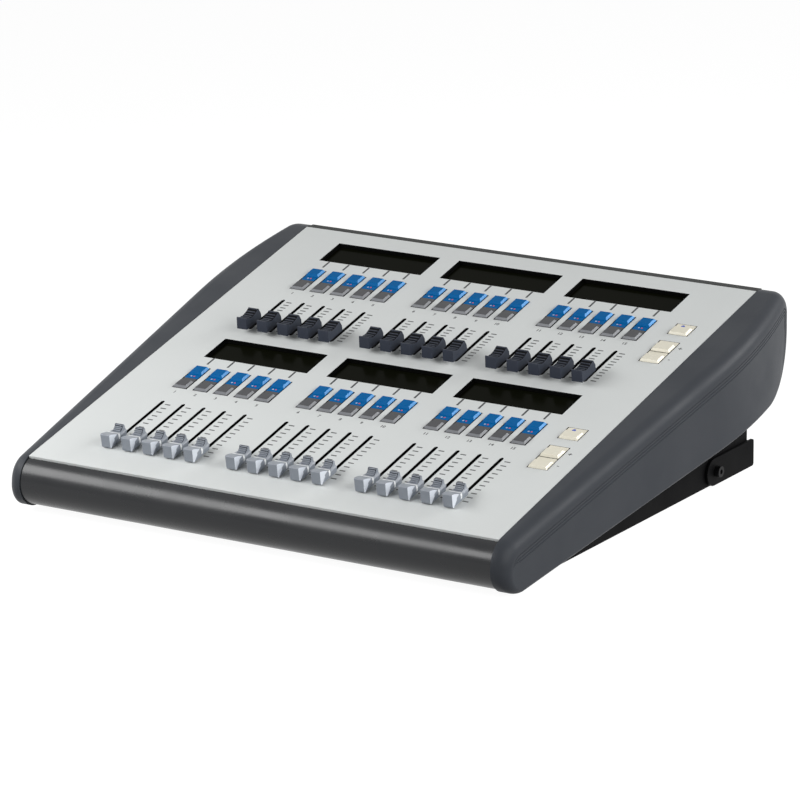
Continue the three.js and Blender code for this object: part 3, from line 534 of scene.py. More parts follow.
# %% Cheek rings
edge_turns = 10
groove_pitch = 2.4 * MM
groove_half = 0.6 * MM
groove_depth = 0.9 * MM
groove_first = 1.1 * MM
groove_land = 0.4 * MM
least_step_share = 0.05
flare_cuts = 44
cheek_angle = 40
inner_face_strip = 0.1 * MM
groove_rings = [(groove_land, 0.0)]
for groove in range(3):
    groove_middle = groove_first + groove * groove_pitch
    groove_rings += [
        (groove_middle - groove_half, 0.0),
        (groove_middle, groove_depth),
        (groove_middle + groove_half, 0.0),
    ]


def make_cheek(name, side):
    """Builds a cheek as rings from its rim, cuts its side across, and flares it."""
    shape = bmesh.new()
    rim = cheek_rim(shape)
    ring = [vertex for vertex, _ in rim]
    facings = [facing for _, facing in rim]
    homes = [vertex.co.copy() for vertex in ring]
    steps = [(quarter * turn / edge_turns, 0.0, 0.0) for turn in range(edge_turns + 1)]
    steps += [(quarter, past, depth) for past, depth in groove_rings]
    for angle, past, depth in steps:
        edges = [shape.edges.get((a, b)) for a, b in zip(ring, ring[1:] + ring[:1])]
        fresh = fresh_verts(bmesh.ops.extrude_edge_only(shape, edges=edges))
        ring = [
            next(edge.other_vert(old) for edge in old.link_edges if edge.other_vert(old) in fresh)
            for old in ring
        ]
        for vertex, facing, home in zip(ring, facings, homes):
            radius = between_stops(edge_stops, facing)
            share = between_stops(groove_stops, facing)
            inset = radius * (1 - math.cos(angle)) + past * max(share, least_step_share)
            vertex.co.x = cheek_inner + front_thickness - radius * (1 - math.sin(angle)) - depth * share
            vertex.co.y = home.y - inset * math.cos(facing)
            vertex.co.z = home.z - inset * math.sin(facing)
    borders = [edge for edge in shape.edges if edge.is_boundary]
    bmesh.ops.holes_fill(shape, edges=borders, sides=0)
    for cut in range(1, flare_cuts):
        cut_across(shape, (0, cheek_nose + (cheek_rear - cheek_nose) * cut / flare_cuts, 0), (0, 1, 0))
    for vertex in shape.verts:
        if vertex.co.x > cheek_inner + inner_face_strip:
            vertex.co.x += cheek_flare(vertex.co.y)
        vertex.co.x *= side
    finishes, slot = [cheek_finish], "cheek_plastic"
    return make_piece(f"{name}_moulding", shape, finishes, "housing", [name], cheek_angle, None)


for cheek_name, cheek_side in (("left_cheek", -1), ("right_cheek", 1)):
    cheek_piece = make_cheek(cheek_name, cheek_side)
    print(cheek_piece.name, len(cheek_piece.data.polygons), "faces")

# %% [markdown]
# ## Front rail
#
# The palm rest is a bent or extruded section with a big round nose. It could be a block with one edge
# bevelled, but its side view is one long arc. So one vertex is spun into that arc, and a few straight
# stretches close the section. Extruded along X, it gives a gleam that is as even as on the real one, because
# the arc has many steps.

# %% Front rail
rail_low, rail_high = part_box("front_rail")
rail_radius = 19.8 * MM
rail_wall = 2.4 * MM
rail_lip_setback = 0.4 * MM
rail_seat = 0.3 * MM
rail_steps = 48
rail_angle = 25


def make_rail():
    """The rail's section as a closed loop of edges, run along X and given its wall."""
    shape = bmesh.new()
    centre_y, centre_z = rail_low.y + rail_radius, rail_low.z + rail_radius
    start = quarter + math.asin((centre_y - panel_front.y + rail_lip_setback) / rail_radius)
    nose = spin_arc(shape, rail_low.x, centre_y, centre_z, rail_radius, start, 3 * quarter, rail_steps)
    under_lip = panel_thickness + rail_seat
    tucked = panel_axes @ Vector((0, -rail_seat, -under_lip))
    corners = [
        nose[-1][0],
        shape.verts.new((rail_low.x, rail_high.y, rail_low.z)),
        shape.verts.new((rail_low.x, rail_high.y, under_panel(rail_high.y, under_lip))),
        shape.verts.new((rail_low.x, tucked.y, tucked.z)),
        nose[0][0],
    ]
    for start_vertex, end_vertex in zip(corners, corners[1:]):
        shape.edges.new((start_vertex, end_vertex))
    moved = fresh_verts(bmesh.ops.extrude_edge_only(shape, edges=shape.edges[:]))
    bmesh.ops.translate(shape, verts=moved, vec=(rail_high.x - rail_low.x, 0, 0))
    bmesh.ops.recalc_face_normals(shape, faces=shape.faces)
    bmesh.ops.solidify(shape, geom=shape.faces[:], thickness=rail_wall)
    finishes, node = [rail_finish], "front_rail"
    return make_piece(f"{node}_section", shape, finishes, "housing", [node], rail_angle, None)


rail_piece = make_rail()
print("rail box", [round(value / MM, 1) for value in rail_piece.dimensions])

# %% [markdown]
# ## Studio: floor, world and lights
#
# The photograph is a product shot on white. The floor is one big sheet. It takes the wing's shadow, and glows
# for rays from the camera or off gloss, so that it meets the white world without a seam. The world lights the
# wing only dimly, and shows itself white to the same rays. That keeps the wing's own shading, which a bright
# white world would wash out.


# %% Studio
floor_half = 12
paper_glow = 0.95
world_light = 0.07


def shown_white(tree):
    """1 for rays from the camera, off gloss or through glass, and 0 for all others."""
    ray = add(tree, "ShaderNodeLightPath")
    shown = ray.outputs["Is Camera Ray"]
    for kind in ("Is Glossy Ray", "Is Transmission Ray"):
        either = add(tree, "ShaderNodeMath", {0: shown, 1: ray.outputs[kind]}, operation="MAXIMUM")
        shown = either.outputs[0]
    return shown


def make_floor():
    """One wide sheet under the wing, which keeps the shadow and fades to white."""
    shape = bmesh.new()
    bmesh.ops.create_grid(shape, x_segments=1, y_segments=1, size=floor_half)
    mesh = bpy.data.meshes.new("studio_floor")
    shape.to_mesh(mesh)
    shape.free()
    made = bpy.data.materials.new("matt_white_paper_sweep")
    tree = empty_tree(made)
    paper = add(tree, "ShaderNodeBsdfDiffuse", {"Color": linear("#7a7a7a")})
    strength = add(tree, "ShaderNodeMath", {0: shown_white(tree), 1: paper_glow}, operation="MULTIPLY")
    glow = add(tree, "ShaderNodeEmission", {"Color": linear("#ffffff"), "Strength": strength.outputs[0]})
    both = add(tree, "ShaderNodeAddShader", {0: paper.outputs[0], 1: glow.outputs[0]})
    add(tree, "ShaderNodeOutputMaterial", {"Surface": both.outputs[0]})
    mesh.materials.append(made)
    floor = new_object("studio_floor", mesh)


def make_world():
    """A dim world that shows itself white to the camera, to gloss and through glass."""
    world = bpy.data.worlds.new("studio_world")
    bpy.context.scene.world = world
    tree = empty_tree(world)
    strength = add(tree, "ShaderNodeMapRange", {
        "Value": shown_white(tree), "To Min": world_light, "To Max": 1.0,
    })
    sky = add(tree, "ShaderNodeBackground", {"Color": linear("#ffffff"), "Strength": strength.outputs[0]})
    add(tree, "ShaderNodeOutputWorld", {"Surface": sky.outputs[0]})


make_floor()
make_world()
print("the world lights the wing at", world_light)

# %% [markdown]
# A soft box behind on the right draws the bright line on the cheek's shoulder, and one at the right lights
# the knobs' right sides, so it is the strongest. One at the front left draws the gleam along the palm rest,
# and makes the panel brightest there.


# %% Lights
def soft_box(name, direction, distance, width, height, watts):
    """A rectangular area light that looks at the wing from a direction."""
    light = bpy.data.lights.new(name, "AREA")
    light.shape = "RECTANGLE"
    light.size = width
    light.size_y = height
    light.energy = watts
    lamp = new_object(name, light)
    toward = Vector(direction).normalized()
    lamp.matrix_world = Matrix.Translation(camera_target + toward * distance) @ (
        toward.to_track_quat("Z", "Y").to_matrix().to_4x4()
    )


soft_box("rear_right_box", (0.71, 0.57, 0.42), 1.6, 0.8, 0.55, 11)
soft_box("right_box", (0.92, -0.3, 0.4), 1.5, 1.3, 1.0, 15)
soft_box("front_left_box", (-0.66, -0.62, 0.5), 1.0, 1.2, 0.36, 9.4)
print("lights:", [light.name for light in bpy.data.lights])

# %% [markdown]
# ## Finishes on the parts that are kept
#
# Sheet metal, feet, screws and the inner works have the right shape in the frame already. They only take
# their finish here. The two control boards are one frame part each, with the fader bodies on them, so their
# material turns from green laminate to black plastic with the height over the board. The rear sheet turns
# from black to dark grey in the same way, because its hood is coated to match the cheeks.


# %% Board and rear finishes
hood_foot = 102 * MM
board_depth = 12 * MM
board_weave = 6 * MM
hood_cloud = 45 * MM
coat_grain = 0.6 * MM
coat_relief = 0.03 * MM


def board_laminate():
    """Green laminate on the boards themselves, black plastic on all that stands on them."""
    made, tree, shader = new_finish("glass_epoxy_board_with_black_bodies", Roughness=0.45)
    spot = add(tree, "ShaderNodeTexCoord").outputs["Object"]
    height = add(tree, "ShaderNodeVectorMath", {0: spot, 1: off_panel}, operation="DOT_PRODUCT")
    board_level = panel_front.dot(off_panel) - board_depth
    above = add(tree, "ShaderNodeMath", {
        0: height.outputs["Value"], 1: board_level,
    }, operation="GREATER_THAN")
    cloud = add(tree, "ShaderNodeTexNoise", {"Vector": spot, "Scale": 1 / board_weave, "Detail": 4.0})
    laminate = add(tree, "ShaderNodeMix", {
        0: cloud.outputs[0], 6: linear("#0e3b24"), 7: linear("#18502f"),
    }, data_type="RGBA")
    whole = add(tree, "ShaderNodeMix", {
        0: above.outputs[0], 6: laminate.outputs[2], 7: linear("#101011"),
    }, data_type="RGBA")
    tree.links.new(whole.outputs[2], shader.inputs["Base Color"])
    return made


def two_tone_coat():
    """Black powder coat on the rear wall and its flanges, the cheeks' dark grey on the hood above."""
    made, tree, shader = new_finish(
        "two_tone_powder_coat_black_and_grey", Roughness=0.6, Specular_IOR_Level=0.05,
    )
    spot = add(tree, "ShaderNodeTexCoord").outputs["Object"]
    place = add(tree, "ShaderNodeSeparateXYZ", {0: spot})
    on_hood = add(tree, "ShaderNodeMath", {0: place.outputs[2], 1: hood_foot}, operation="GREATER_THAN")
    cloud = add(tree, "ShaderNodeTexNoise", {"Vector": spot, "Scale": 1 / hood_cloud, "Detail": 3.0})
    grey = add(tree, "ShaderNodeMix", {
        0: cloud.outputs[0], 6: linear("#3e3f3e"), 7: linear("#444544"),
    }, data_type="RGBA")
    whole = add(tree, "ShaderNodeMix", {
        0: on_hood.outputs[0], 6: linear("#070708"), 7: grey.outputs[2],
    }, data_type="RGBA")
    grain = add(tree, "ShaderNodeTexNoise", {"Vector": spot, "Scale": 1 / coat_grain, "Detail": 2.0})
    relief = add(tree, "ShaderNodeBump", {"Height": grain.outputs[0], "Distance": coat_relief})
    tree.links.new(whole.outputs[2], shader.inputs["Base Color"])
    tree.links.new(relief.outputs[0], shader.inputs["Normal"])
    return made


give_finish(panel_finish, "top_panel")
give_finish(chassis_finish, "chassis_tray", "tilt_stand")
give_finish(two_tone_coat(), "rear_panel")
give_finish(screw_finish, "pivot_screw_left", "pivot_screw_right")
give_finish(rubber_finish, "front_left_foot", "front_right_foot", "rear_left_foot", "rear_right_foot")
board_finish = board_laminate()
give_finish(board_finish, "lower_control_board", "upper_control_board")
give_finish(supply_finish, "power_supply")
give_finish(socket_finish, "power_switch", "data_socket")
print("finishes so far:", len(bpy.data.materials))

# %% [markdown]
# ## Upper knobs
#
# An upper fader knob is a charcoal moulding with a scooped top: high at the front, low in the middle, high
# again at the rear. It could be sculpted, but its side view says nearly all. So an outline of shares, with
# two true curves, is run along X. Its front face leans back a little. A small bevel softens the rims, so that
# they catch a thin line of light. The scoop is coloured near black as painted shade, and ribs cross it for
# grip. The knob stands clear of the panel on a steel lever, which goes down through the panel's slot.

# %% Upper knob shape
upper_length = 21.7 * MM
upper_width = 9.5 * MM
upper_crown = 9.1 * MM
upper_lift = 4.7 * MM
upper_forward = 1.9 * MM
upper_height = 10.2 * MM
lever_width = 1.6 * MM
lever_length = 5 * MM
lever_drop = 8.4 * MM
lever_sunk = 0.2 * MM
scoop_start_share, scoop_low_share, scoop_end_share = 0.1, 0.42, 0.87
scoop_floor_share, scoop_front_share, scoop_rear_share = 0.66, 0.92, 0.9
upper_bevel_mm = 0.3
upper_rib_shares = (0.3, 0.4325, 0.565, 0.6975, 0.83)
upper_rib_sizes = (4.1 * MM, 0.42 * MM, 0.8 * MM, 0.7 * MM, 0.2)
scoop_facing = 0.4
sharp_turn = 0.6
merge_gap = 0.02 * MM


def scoop_share(along):
    """Height share of the scooped top at a share of the length."""
    if along < scoop_low_share:
        climb = (scoop_low_share - along) / (scoop_low_share - scoop_start_share)
        return scoop_floor_share + (scoop_front_share - scoop_floor_share) * climb ** 2
    climb = (along - scoop_low_share) / (scoop_end_share - scoop_low_share)
    return scoop_floor_share + (scoop_rear_share - scoop_floor_share) * climb ** 2


def arc(centre, radii, start, end, steps):
    """Points of an arc between two angles in degrees."""
    turns = [math.radians(start + (end - start) * step / steps) for step in range(steps + 1)]
    return [(centre[0] + radii[0] * math.cos(turn), centre[1] + radii[1] * math.sin(turn)) for turn in turns]


def upper_outline():
    """The knob's side view as (share of length from the front, share of height)."""
    points = [(0.0, 0.0), (0.065, 0.9), (0.08, 0.93)]
    steps = 14
    for step in range(steps + 1):
        along = scoop_start_share + (scoop_end_share - scoop_start_share) * step / steps
        points.append((along, scoop_share(along)))
    points += arc((0.87, 0.8), (0.05, 0.1), 90, 35, 4)[1:]
    points += [(0.985, 0.5), (1.0, 0.38), (0.985, 0.0)]
    return points


print("upper outline points:", len(upper_outline()))

# %% [markdown]
# Both kinds of knob share a few steps: their outline and their ribs are placed by shares of the knob's length
# and height, every sharp edge is softened, and a flat steel lever goes down from each.


# %% Knob helpers
def in_place(shares, front, length, lift, height):
    """(Y, Z) places from shares of a knob's length and height."""
    return [(front + along * length, lift + share * height) for along, share in shares]


def add_lever(shape, centre_x, centre_y, lift, finish):
    """The flat steel lever from the knob down through the slot."""
    add_block(
        shape, around(centre_x, lever_width / 2), around(centre_y, lever_length / 2),
        (-lever_drop, lift + lever_sunk), finish,
    )


def add_ribs(shape, centre_x, places, half_width, half_length, root, proud, round_mm):
    """Ribs across a knob at (Y, Z) places, each rooted in the knob and a little proud of it."""
    for y, z in places:
        reach = (around(centre_x, half_width), around(y, half_length), (z - root, z + proud))
        add_block(shape, *reach, 0, round_mm)


def sharp_edges(shape):
    """The edges where a knob's faces meet at more than a slight turn."""
    return [edge for edge in shape.edges if edge.calc_face_angle(0) > sharp_turn]


print("lever in mm:", round(lever_width / MM, 1), "by", round(lever_length / MM, 1))


# %% Upper knob
def make_upper_knob(node):
    """One upper knob with its ribs and its steel lever, in panel axes."""
    low, _, middle = place_on_panel(node)
    front = low.y - upper_forward
    sizes = (front, upper_length, upper_lift, upper_height)
    finishes = [dark_knob_finish, lever_finish, scoop_painted_shade]
    shape = bmesh.new()
    add_run(shape, in_place(upper_outline(), *sizes), around(middle.x, upper_width / 2))
    for vertex in shape.verts:
        share = (vertex.co.z - upper_lift) / upper_height
        narrowed = 1 - share * (1 - upper_crown / upper_width)
        vertex.co.x = middle.x + (vertex.co.x - middle.x) * narrowed
    bmesh.ops.recalc_face_normals(shape, faces=shape.faces)
    # Upward faces of the scoop take the near-black painted shade.
    for face in shape.faces:
        along = (face.calc_center_median().y - front) / upper_length
        if scoop_start_share < along < scoop_end_share and face.normal.z > scoop_facing:
            face.material_index = finishes.index(scoop_painted_shade)
    soften(shape, sharp_edges(shape), upper_bevel_mm)
    bmesh.ops.remove_doubles(shape, verts=shape.verts, dist=merge_gap)
    ribs = in_place([(along, scoop_share(along)) for along in upper_rib_shares], *sizes)
    add_ribs(shape, middle.x, ribs, *upper_rib_sizes)
    add_lever(shape, middle.x, low.y + upper_length / 2, upper_lift, finishes.index(lever_finish))
    return make_piece(f"{node}_knob", shape, finishes, node, [node])


print("upper knob in mm:", round(upper_width / MM, 1), "wide,", round(upper_height / MM, 1), "high")

# %% [markdown]
# ## Lower knobs
#
# A lower knob is pale grey. Its sides draw in towards the foot, its nose has both front corners cut off, and
# behind it a narrower hump carries four ribs. Because the sides draw in, each cut corner is a leaf: wide at
# the top and closed below. A white line crosses the knob, and turns down over the sides. The side view is run
# across as before. Planes then cut the corners off, whose faces are near white as a painted highlight, and
# the line is a band of faces between two cuts, because printed ink has no height worth modelling. The floor
# between the ribs is darker, as painted shade.

# %% Lower knob shape
lower_length = 22 * MM
lower_width = 11.6 * MM
lower_foot = 8.4 * MM
lower_crown = 11.2 * MM
lower_hump = 7.4 * MM
lower_lift = 1 * MM
lower_height = 10.7 * MM
nose_face = 8 * MM
nose_chamfer = 9 * MM
flare_share = 0.8
line_share = 0.54
line_width = 1.9 * MM
line_drop = 5 * MM
line_top_share = 0.64
lower_bevel_mm = 0.25
hump_start_share, hump_ease_share = 0.6, 0.08
hump_low_share, hump_rise_share = 0.42, 0.16
level_shares = (0.3, hump_low_share, 0.5, flare_share, hump_low_share + hump_rise_share)
rib_gap_shares = (0.69, 0.93)
rib_gap_facing = 0.3
lower_rib_shares = ((0.725, 0.6015), (0.783, 0.686), (0.841, 0.7706), (0.899, 0.8552))
lower_rib_sizes = (3.3 * MM, 0.35 * MM, 1.1 * MM, 0.5 * MM, 0.12)


def lower_outline():
    """The knob's side view as (share of length from the front, share of height)."""
    points = [(0.02, 0.0), (0.0, 0.12), (0.03, 0.8)] + arc((0.075, 0.93), (0.042, 0.07), 180, 90, 8)
    points += [(0.15, 0.965), (0.24, 0.9), (0.36, 0.79), (0.48, 0.69), (0.56, 0.63), (0.64, 0.58)]
    points += [(0.7, 0.565), (0.76, 0.6), (0.82, 0.67), (0.87, 0.76)]
    return points + arc((0.935, 0.806), (0.065, 0.108), 135, 5, 6) + [(1.0, 0.3), (0.985, 0.0)]


def lower_half_width(along, height):
    """Half of the knob's width at a share of its length and of its height."""
    if height < flare_share:
        plain = (lower_foot + (lower_width - lower_foot) * height / flare_share) / 2
    else:
        plain = (lower_width - (lower_width - lower_crown) * (height - flare_share) / (1 - flare_share)) / 2
    if along < hump_start_share:
        return plain
    rise = max(0.0, min(1.0, (height - hump_low_share) / hump_rise_share))
    ease = max(0.0, min(1.0, (along - hump_start_share) / hump_ease_share))
    return plain + (lower_hump / 2 - plain) * rise * ease


print("lower outline points:", len(lower_outline()))


# %% Lower knob
def make_lower_knob(node):
    """One lower knob with its cut nose, its ribs, its line and its steel lever, in panel axes."""
    low, _, middle = place_on_panel(node)
    line_y = low.y + line_share * lower_length
    sizes = (low.y, lower_length, lower_lift, lower_height)
    finishes = [pale_knob_finish, white_ink, lever_finish, cut_corner_painted_highlight, rib_gap_painted_shade]
    shape = bmesh.new()
    add_run(shape, in_place(lower_outline(), *sizes), around(middle.x, lower_width / 2))
    for share in level_shares:
        cut_across(shape, (0, 0, lower_lift + share * lower_height), (0, 0, 1))
    for vertex in shape.verts:
        along = (vertex.co.y - low.y) / lower_length
        height = (vertex.co.z - lower_lift) / lower_height
        half = lower_half_width(along, height)
        vertex.co.x = middle.x + math.copysign(half, vertex.co.x - middle.x)
    for side in (-1, 1):
        front_corner = Vector((middle.x + side * nose_face / 2, low.y, lower_lift))
        cut = bmesh.ops.bisect_plane(
            shape, geom=shape.verts[:] + shape.edges[:] + shape.faces[:], dist=1e-6,
            plane_co=front_corner, plane_no=(side * nose_chamfer, nose_face / 2 - lower_width / 2, 0),
            clear_outer=True,
        )
        rim = [item for item in cut["geom_cut"] if isinstance(item, bmesh.types.BMEdge)]
        # The cut faces take the near-white finish: a painted highlight.
        for face in bmesh.ops.holes_fill(shape, edges=rim, sides=0)["faces"]:
            face.material_index = finishes.index(cut_corner_painted_highlight)
    bmesh.ops.recalc_face_normals(shape, faces=shape.faces)
    # Faces between the ribs take the darker finish: painted shade.
    for face in shape.faces:
        along = (face.calc_center_median().y - low.y) / lower_length
        if rib_gap_shares[0] < along < rib_gap_shares[1] and face.normal.z > rib_gap_facing:
            face.material_index = finishes.index(rib_gap_painted_shade)
    soften(shape, sharp_edges(shape), lower_bevel_mm)
    for offset in (-line_width / 2, line_width / 2):
        cut_across(shape, (0, line_y + offset, 0), (0, 1, 0))
    line_foot = lower_lift + line_top_share * lower_height - line_drop
    cut_across(shape, (0, 0, line_foot), (0, 0, 1))
    for face in shape.faces:
        spot = face.calc_center_median()
        if abs(spot.y - line_y) < line_width / 2 and spot.z > line_foot:
            face.material_index = finishes.index(white_ink)
    ribs = in_place(lower_rib_shares, *sizes)
    add_ribs(shape, middle.x, ribs, *lower_rib_sizes)
    add_lever(shape, middle.x, line_y, lower_lift, finishes.index(lever_finish))
    return make_piece(f"{node}_knob", shape, finishes, node, [node])


# %% Make the knobs
fader_nodes = sorted(name for name in frame["nodes"] if "_fader_" in name)
for fader_node in fader_nodes:
    make_knob = make_upper_knob if fader_node.startswith("upper") else make_lower_knob
    knob = make_knob(fader_node)
print(len(fader_nodes), "knobs, the last with", len(knob.data.polygons), "faces")

# %% [markdown]
# ## Channel keys
#
# Over each fader stand two keys, end to end in one hole. The front one is grey with its raised pad at the
# front, the rear one is blue with its pad at the rear, and between the pads lie two low flats. Each cap is a
# block, and its pad is a second block whose top is drawn in on all four sides. Fine bevels on every rim give
# the bright lines that a glossy moulding has. The side and front bevels of the pads are coloured lighter, as
# a painted highlight. Below the panel the caps stand on black blocks, painted shade that makes the gap round
# a key dark.

# %% Key sizes
key_cap_half = 5.95 * MM
key_pad_height = 2 * MM
key_flat_height = 0.2 * MM
key_pad_length = 11.4 * MM
key_bevel = 1.15 * MM
key_inner_bevel = 1.6 * MM
key_skirt = 4.4 * MM
key_cap_depth = 0.3 * MM
key_bar_half = 3 * MM
key_bar_end = 0.2 * MM
key_bar_sunk = 1.2 * MM
key_bar_shift = 0.4 * MM
hair = 0.01 * MM
cap_round_mm, pad_round_mm = 0.12, 0.15
bevel_facings, rear_facing = (0.1, 0.56), 0.5
mark_radius = 0.8 * MM
mark_places = (-1.5 * MM, 1.1 * MM)
mark_shift = 0.075 * MM
mark_thickness = 0.06 * MM
mark_sides = 14
print("pads in mm:", round(key_pad_length / MM, 1), "long,", round(key_pad_height / MM, 1), "high")


# %% Key cap
def add_pad(shape, xs, ys, front, rear, bevel):
    """A raised pad, its top drawn in all round. Its bevels but the rear one get a painted highlight."""
    verts = add_block(shape, xs, ys, (0, key_pad_height))
    for vertex in verts:
        if vertex.co.z > key_pad_height - 1e-7:
            vertex.co.x -= math.copysign(key_bevel, vertex.co.x - sum(xs) / 2)
            vertex.co.y += front if vertex.co.y < sum(ys) / 2 else -rear
    # Bevels but the rear one take the lighter finish: a painted highlight.
    for face in faces_at(verts):
        face.normal_update()
        if bevel_facings[0] < face.normal.z < bevel_facings[1] and face.normal.y < rear_facing:
            face.material_index = bevel
    edges = {edge for vertex in verts for edge in vertex.link_edges}
    upper_edges = [edge for edge in edges if max(vertex.co.z for vertex in edge.verts) > 1e-6]
    soften(shape, upper_edges, pad_round_mm)


def add_cap(shape, xs, ys, pad_at_rear, gap_shade_index, bevel):
    """One key cap: its low flat and its pad, on a black block in its hole, painted shade for the gap round
    it.
    """
    # The black block below the cap is painted shade for the gap round the key.
    add_block(shape, xs, ys, (-key_skirt, -key_cap_depth), gap_shade_index)
    add_block(shape, xs, ys, (-key_cap_depth - hair, key_flat_height), 0, cap_round_mm)
    pad_start = ys[1] - key_pad_length if pad_at_rear else ys[0]
    pad_ys = (pad_start + hair, pad_start + key_pad_length - 2 * hair)
    draws = (key_inner_bevel, key_bevel) if pad_at_rear else (key_bevel, key_inner_bevel)
    add_pad(shape, (xs[0] + hair, xs[1] - hair), pad_ys, *draws, bevel)


def add_mark(shape, x, y, z, radius, finish):
    """A small round mark, a printed dot a hair proud of the surface."""
    made = bmesh.ops.create_cone(
        shape, segments=mark_sides, radius1=radius, radius2=radius, depth=mark_thickness, cap_ends=True,
        matrix=Matrix.Translation((x, y, z)),
    )
    for face in faces_at(made["verts"]):
        face.material_index = finish


print("a cap's low flat in mm:", round(key_flat_height / MM, 1))

# %% Key rows
channel_xs = [place_on_panel(name)[2].x for name in fader_nodes[:len(fader_nodes) // 2]]


def make_key_row(section, colour, pad_at_rear, finishes):
    """Fifteen caps of one colour with the bar under the panel that carries them."""
    node = f"{section}_{colour}_keys"
    low, high, middle = place_on_panel(node)
    gap_shade_index, bevel = len(finishes) - 1, len(finishes) - 2
    shape = bmesh.new()
    for x in channel_xs:
        add_cap(shape, around(x, key_cap_half), (low.y, high.y), pad_at_rear, gap_shade_index, bevel)
        if pad_at_rear:
            flat_y = middle.y - key_pad_length / 2 - mark_shift
            for finish, offset in enumerate(mark_places, 1):
                add_mark(shape, x + offset, flat_y, key_flat_height, mark_radius, finish)
    reach = key_cap_half - key_bar_end
    bar_y = middle.y + (key_bar_shift if pad_at_rear else -key_bar_shift)
    add_block(
        shape, (channel_xs[0] - reach, channel_xs[-1] + reach), around(bar_y, key_bar_half),
        (low.z, key_bar_sunk - key_skirt), gap_shade_index,
    )
    return make_piece(f"{node}_caps", shape, finishes, node, [node])


blue_finishes = [blue_key_finish, pale_mark, red_mark, blue_bevel_painted_highlight, black_trim_and_gap_shade]
for section in ("lower", "upper"):
    make_key_row(section, "grey", False, [grey_key_finish, grey_bevel_painted_highlight, black_trim_and_gap_shade])
    row = make_key_row(section, "blue", True, blue_finishes)
print("a key row has", len(row.data.polygons), "faces")

# %% [markdown]
# ## Page keys
#
# Three cream keys stand at the right of each section: one alone, and a pair in one hole. They are wider than
# the channel keys and have the same shape, so the same cap is used with their own width, on a stem instead of
# a bar. The lone one has a small blue mark.

# %% Page keys
page_cap_half = 7.95 * MM
page_cap_length = 16.5 * MM
page_stem_back = 7.85 * MM
page_stem_half = 3 * MM
page_stem_sunk = 0.4 * MM
page_mark_back = 2 * MM
page_mark_left = 2 * MM


def make_page_key(node, marked):
    """One page key with its stem."""
    low, _, middle = place_on_panel(node)
    shape = bmesh.new()
    # Finish 2 is the black block and stem under the cap: painted shade for the gap round the key.
    add_cap(shape, around(middle.x, page_cap_half), (low.y, low.y + page_cap_length), False, 2, 0)
    add_block(
        shape, around(middle.x, page_stem_half), around(low.y + page_stem_back, page_stem_half),
        (low.z, page_stem_sunk - key_skirt), 2,
    )
    if marked:
        flat_y = low.y + key_pad_length + page_mark_back
        add_mark(shape, middle.x - page_mark_left, flat_y, key_flat_height, 2 * mark_radius, 1)
    finishes = [cream_key_finish, blue_mark, black_trim_and_gap_shade]
    return make_piece(f"{node}_cap", shape, finishes, node, [node])


for section in ("lower", "upper"):
    for kind in ("select", "plus", "minus"):
        page_key = make_page_key(f"{section}_{kind}_key", kind == "select")
print("page key faces:", len(page_key.data.polygons))

# %% [markdown]
# ## Display modules
#
# Each section has three display windows over one long board. A window is a dark glass plate in a black frame,
# and it shows nothing when the wing is off. Glass and frame could be two blocks, but one is enough: the frame
# is a block whose top face is inset and pushed down, so that the glass lies a little below.

# %% Display modules
glass_finish = grained(
    "coated_smoked_acrylic_window", "#0e0f07", "#0b0c05", 0.16, 30, 0.0, 60, 0.03, gloss=0.008,
)
bezel_finish = grained("moulded_abs_display_frame", "#060605", "#050504", 0.5, 0.5, 0.01, gloss=0.03)
bank_size = 5
display_half_width = 48 * MM
display_margin = 2 * MM
display_board_thickness = 1.6 * MM
bezel_width = 3.4 * MM
bezel_depth = 0.9 * MM
bezel_wall = 0.05 * MM
bezel_sunk = 0.02 * MM


def make_display_modules(section):
    """Three framed windows on their common board."""
    node = f"{section}_display_modules"
    low, high, _ = place_on_panel(node)
    shape = bmesh.new()
    board_top = low.z + display_board_thickness
    add_block(shape, (low.x, high.x), (low.y, high.y), (low.z, board_top), 2)
    for start in range(0, len(channel_xs), bank_size):
        middle = (channel_xs[start] + channel_xs[start + bank_size - 1]) / 2
        verts = add_block(
            shape, around(middle, display_half_width + display_margin),
            (low.y + display_margin, high.y - display_margin), (board_top - bezel_sunk, high.z), 1,
        )
        top = max(faces_at(verts), key=lambda face: face.normal.z)
        bmesh.ops.inset_region(shape, faces=[top], thickness=bezel_width, use_even_offset=True)
        bmesh.ops.inset_region(shape, faces=[top], thickness=bezel_wall, depth=-bezel_depth)
        top.material_index = 0
    finishes = [glass_finish, bezel_finish, board_finish]
    return make_piece(f"{node}_windows", shape, finishes, "housing", [node], plain_angle)


for section in ("lower", "upper"):
    windows = make_display_modules(section)
print("display windows:", [round(value / MM, 1) for value in windows.dimensions])

# %% [markdown]
# ## Printed marks
#
# The panel is screen-printed: eleven ticks beside each fader, a number over each channel, a short line from
# each display down to its keys, and a sign beside each page key. Ink is a few hundredths of a millimetre
# thick. An image could carry it, but true shapes stay sharp however close the camera comes. So each mark is a
# thin block or letter that sinks a hair into the paint, so that it never flickers against it. The thin black
# lips of the dust seals along the fader slots are made in the same way.

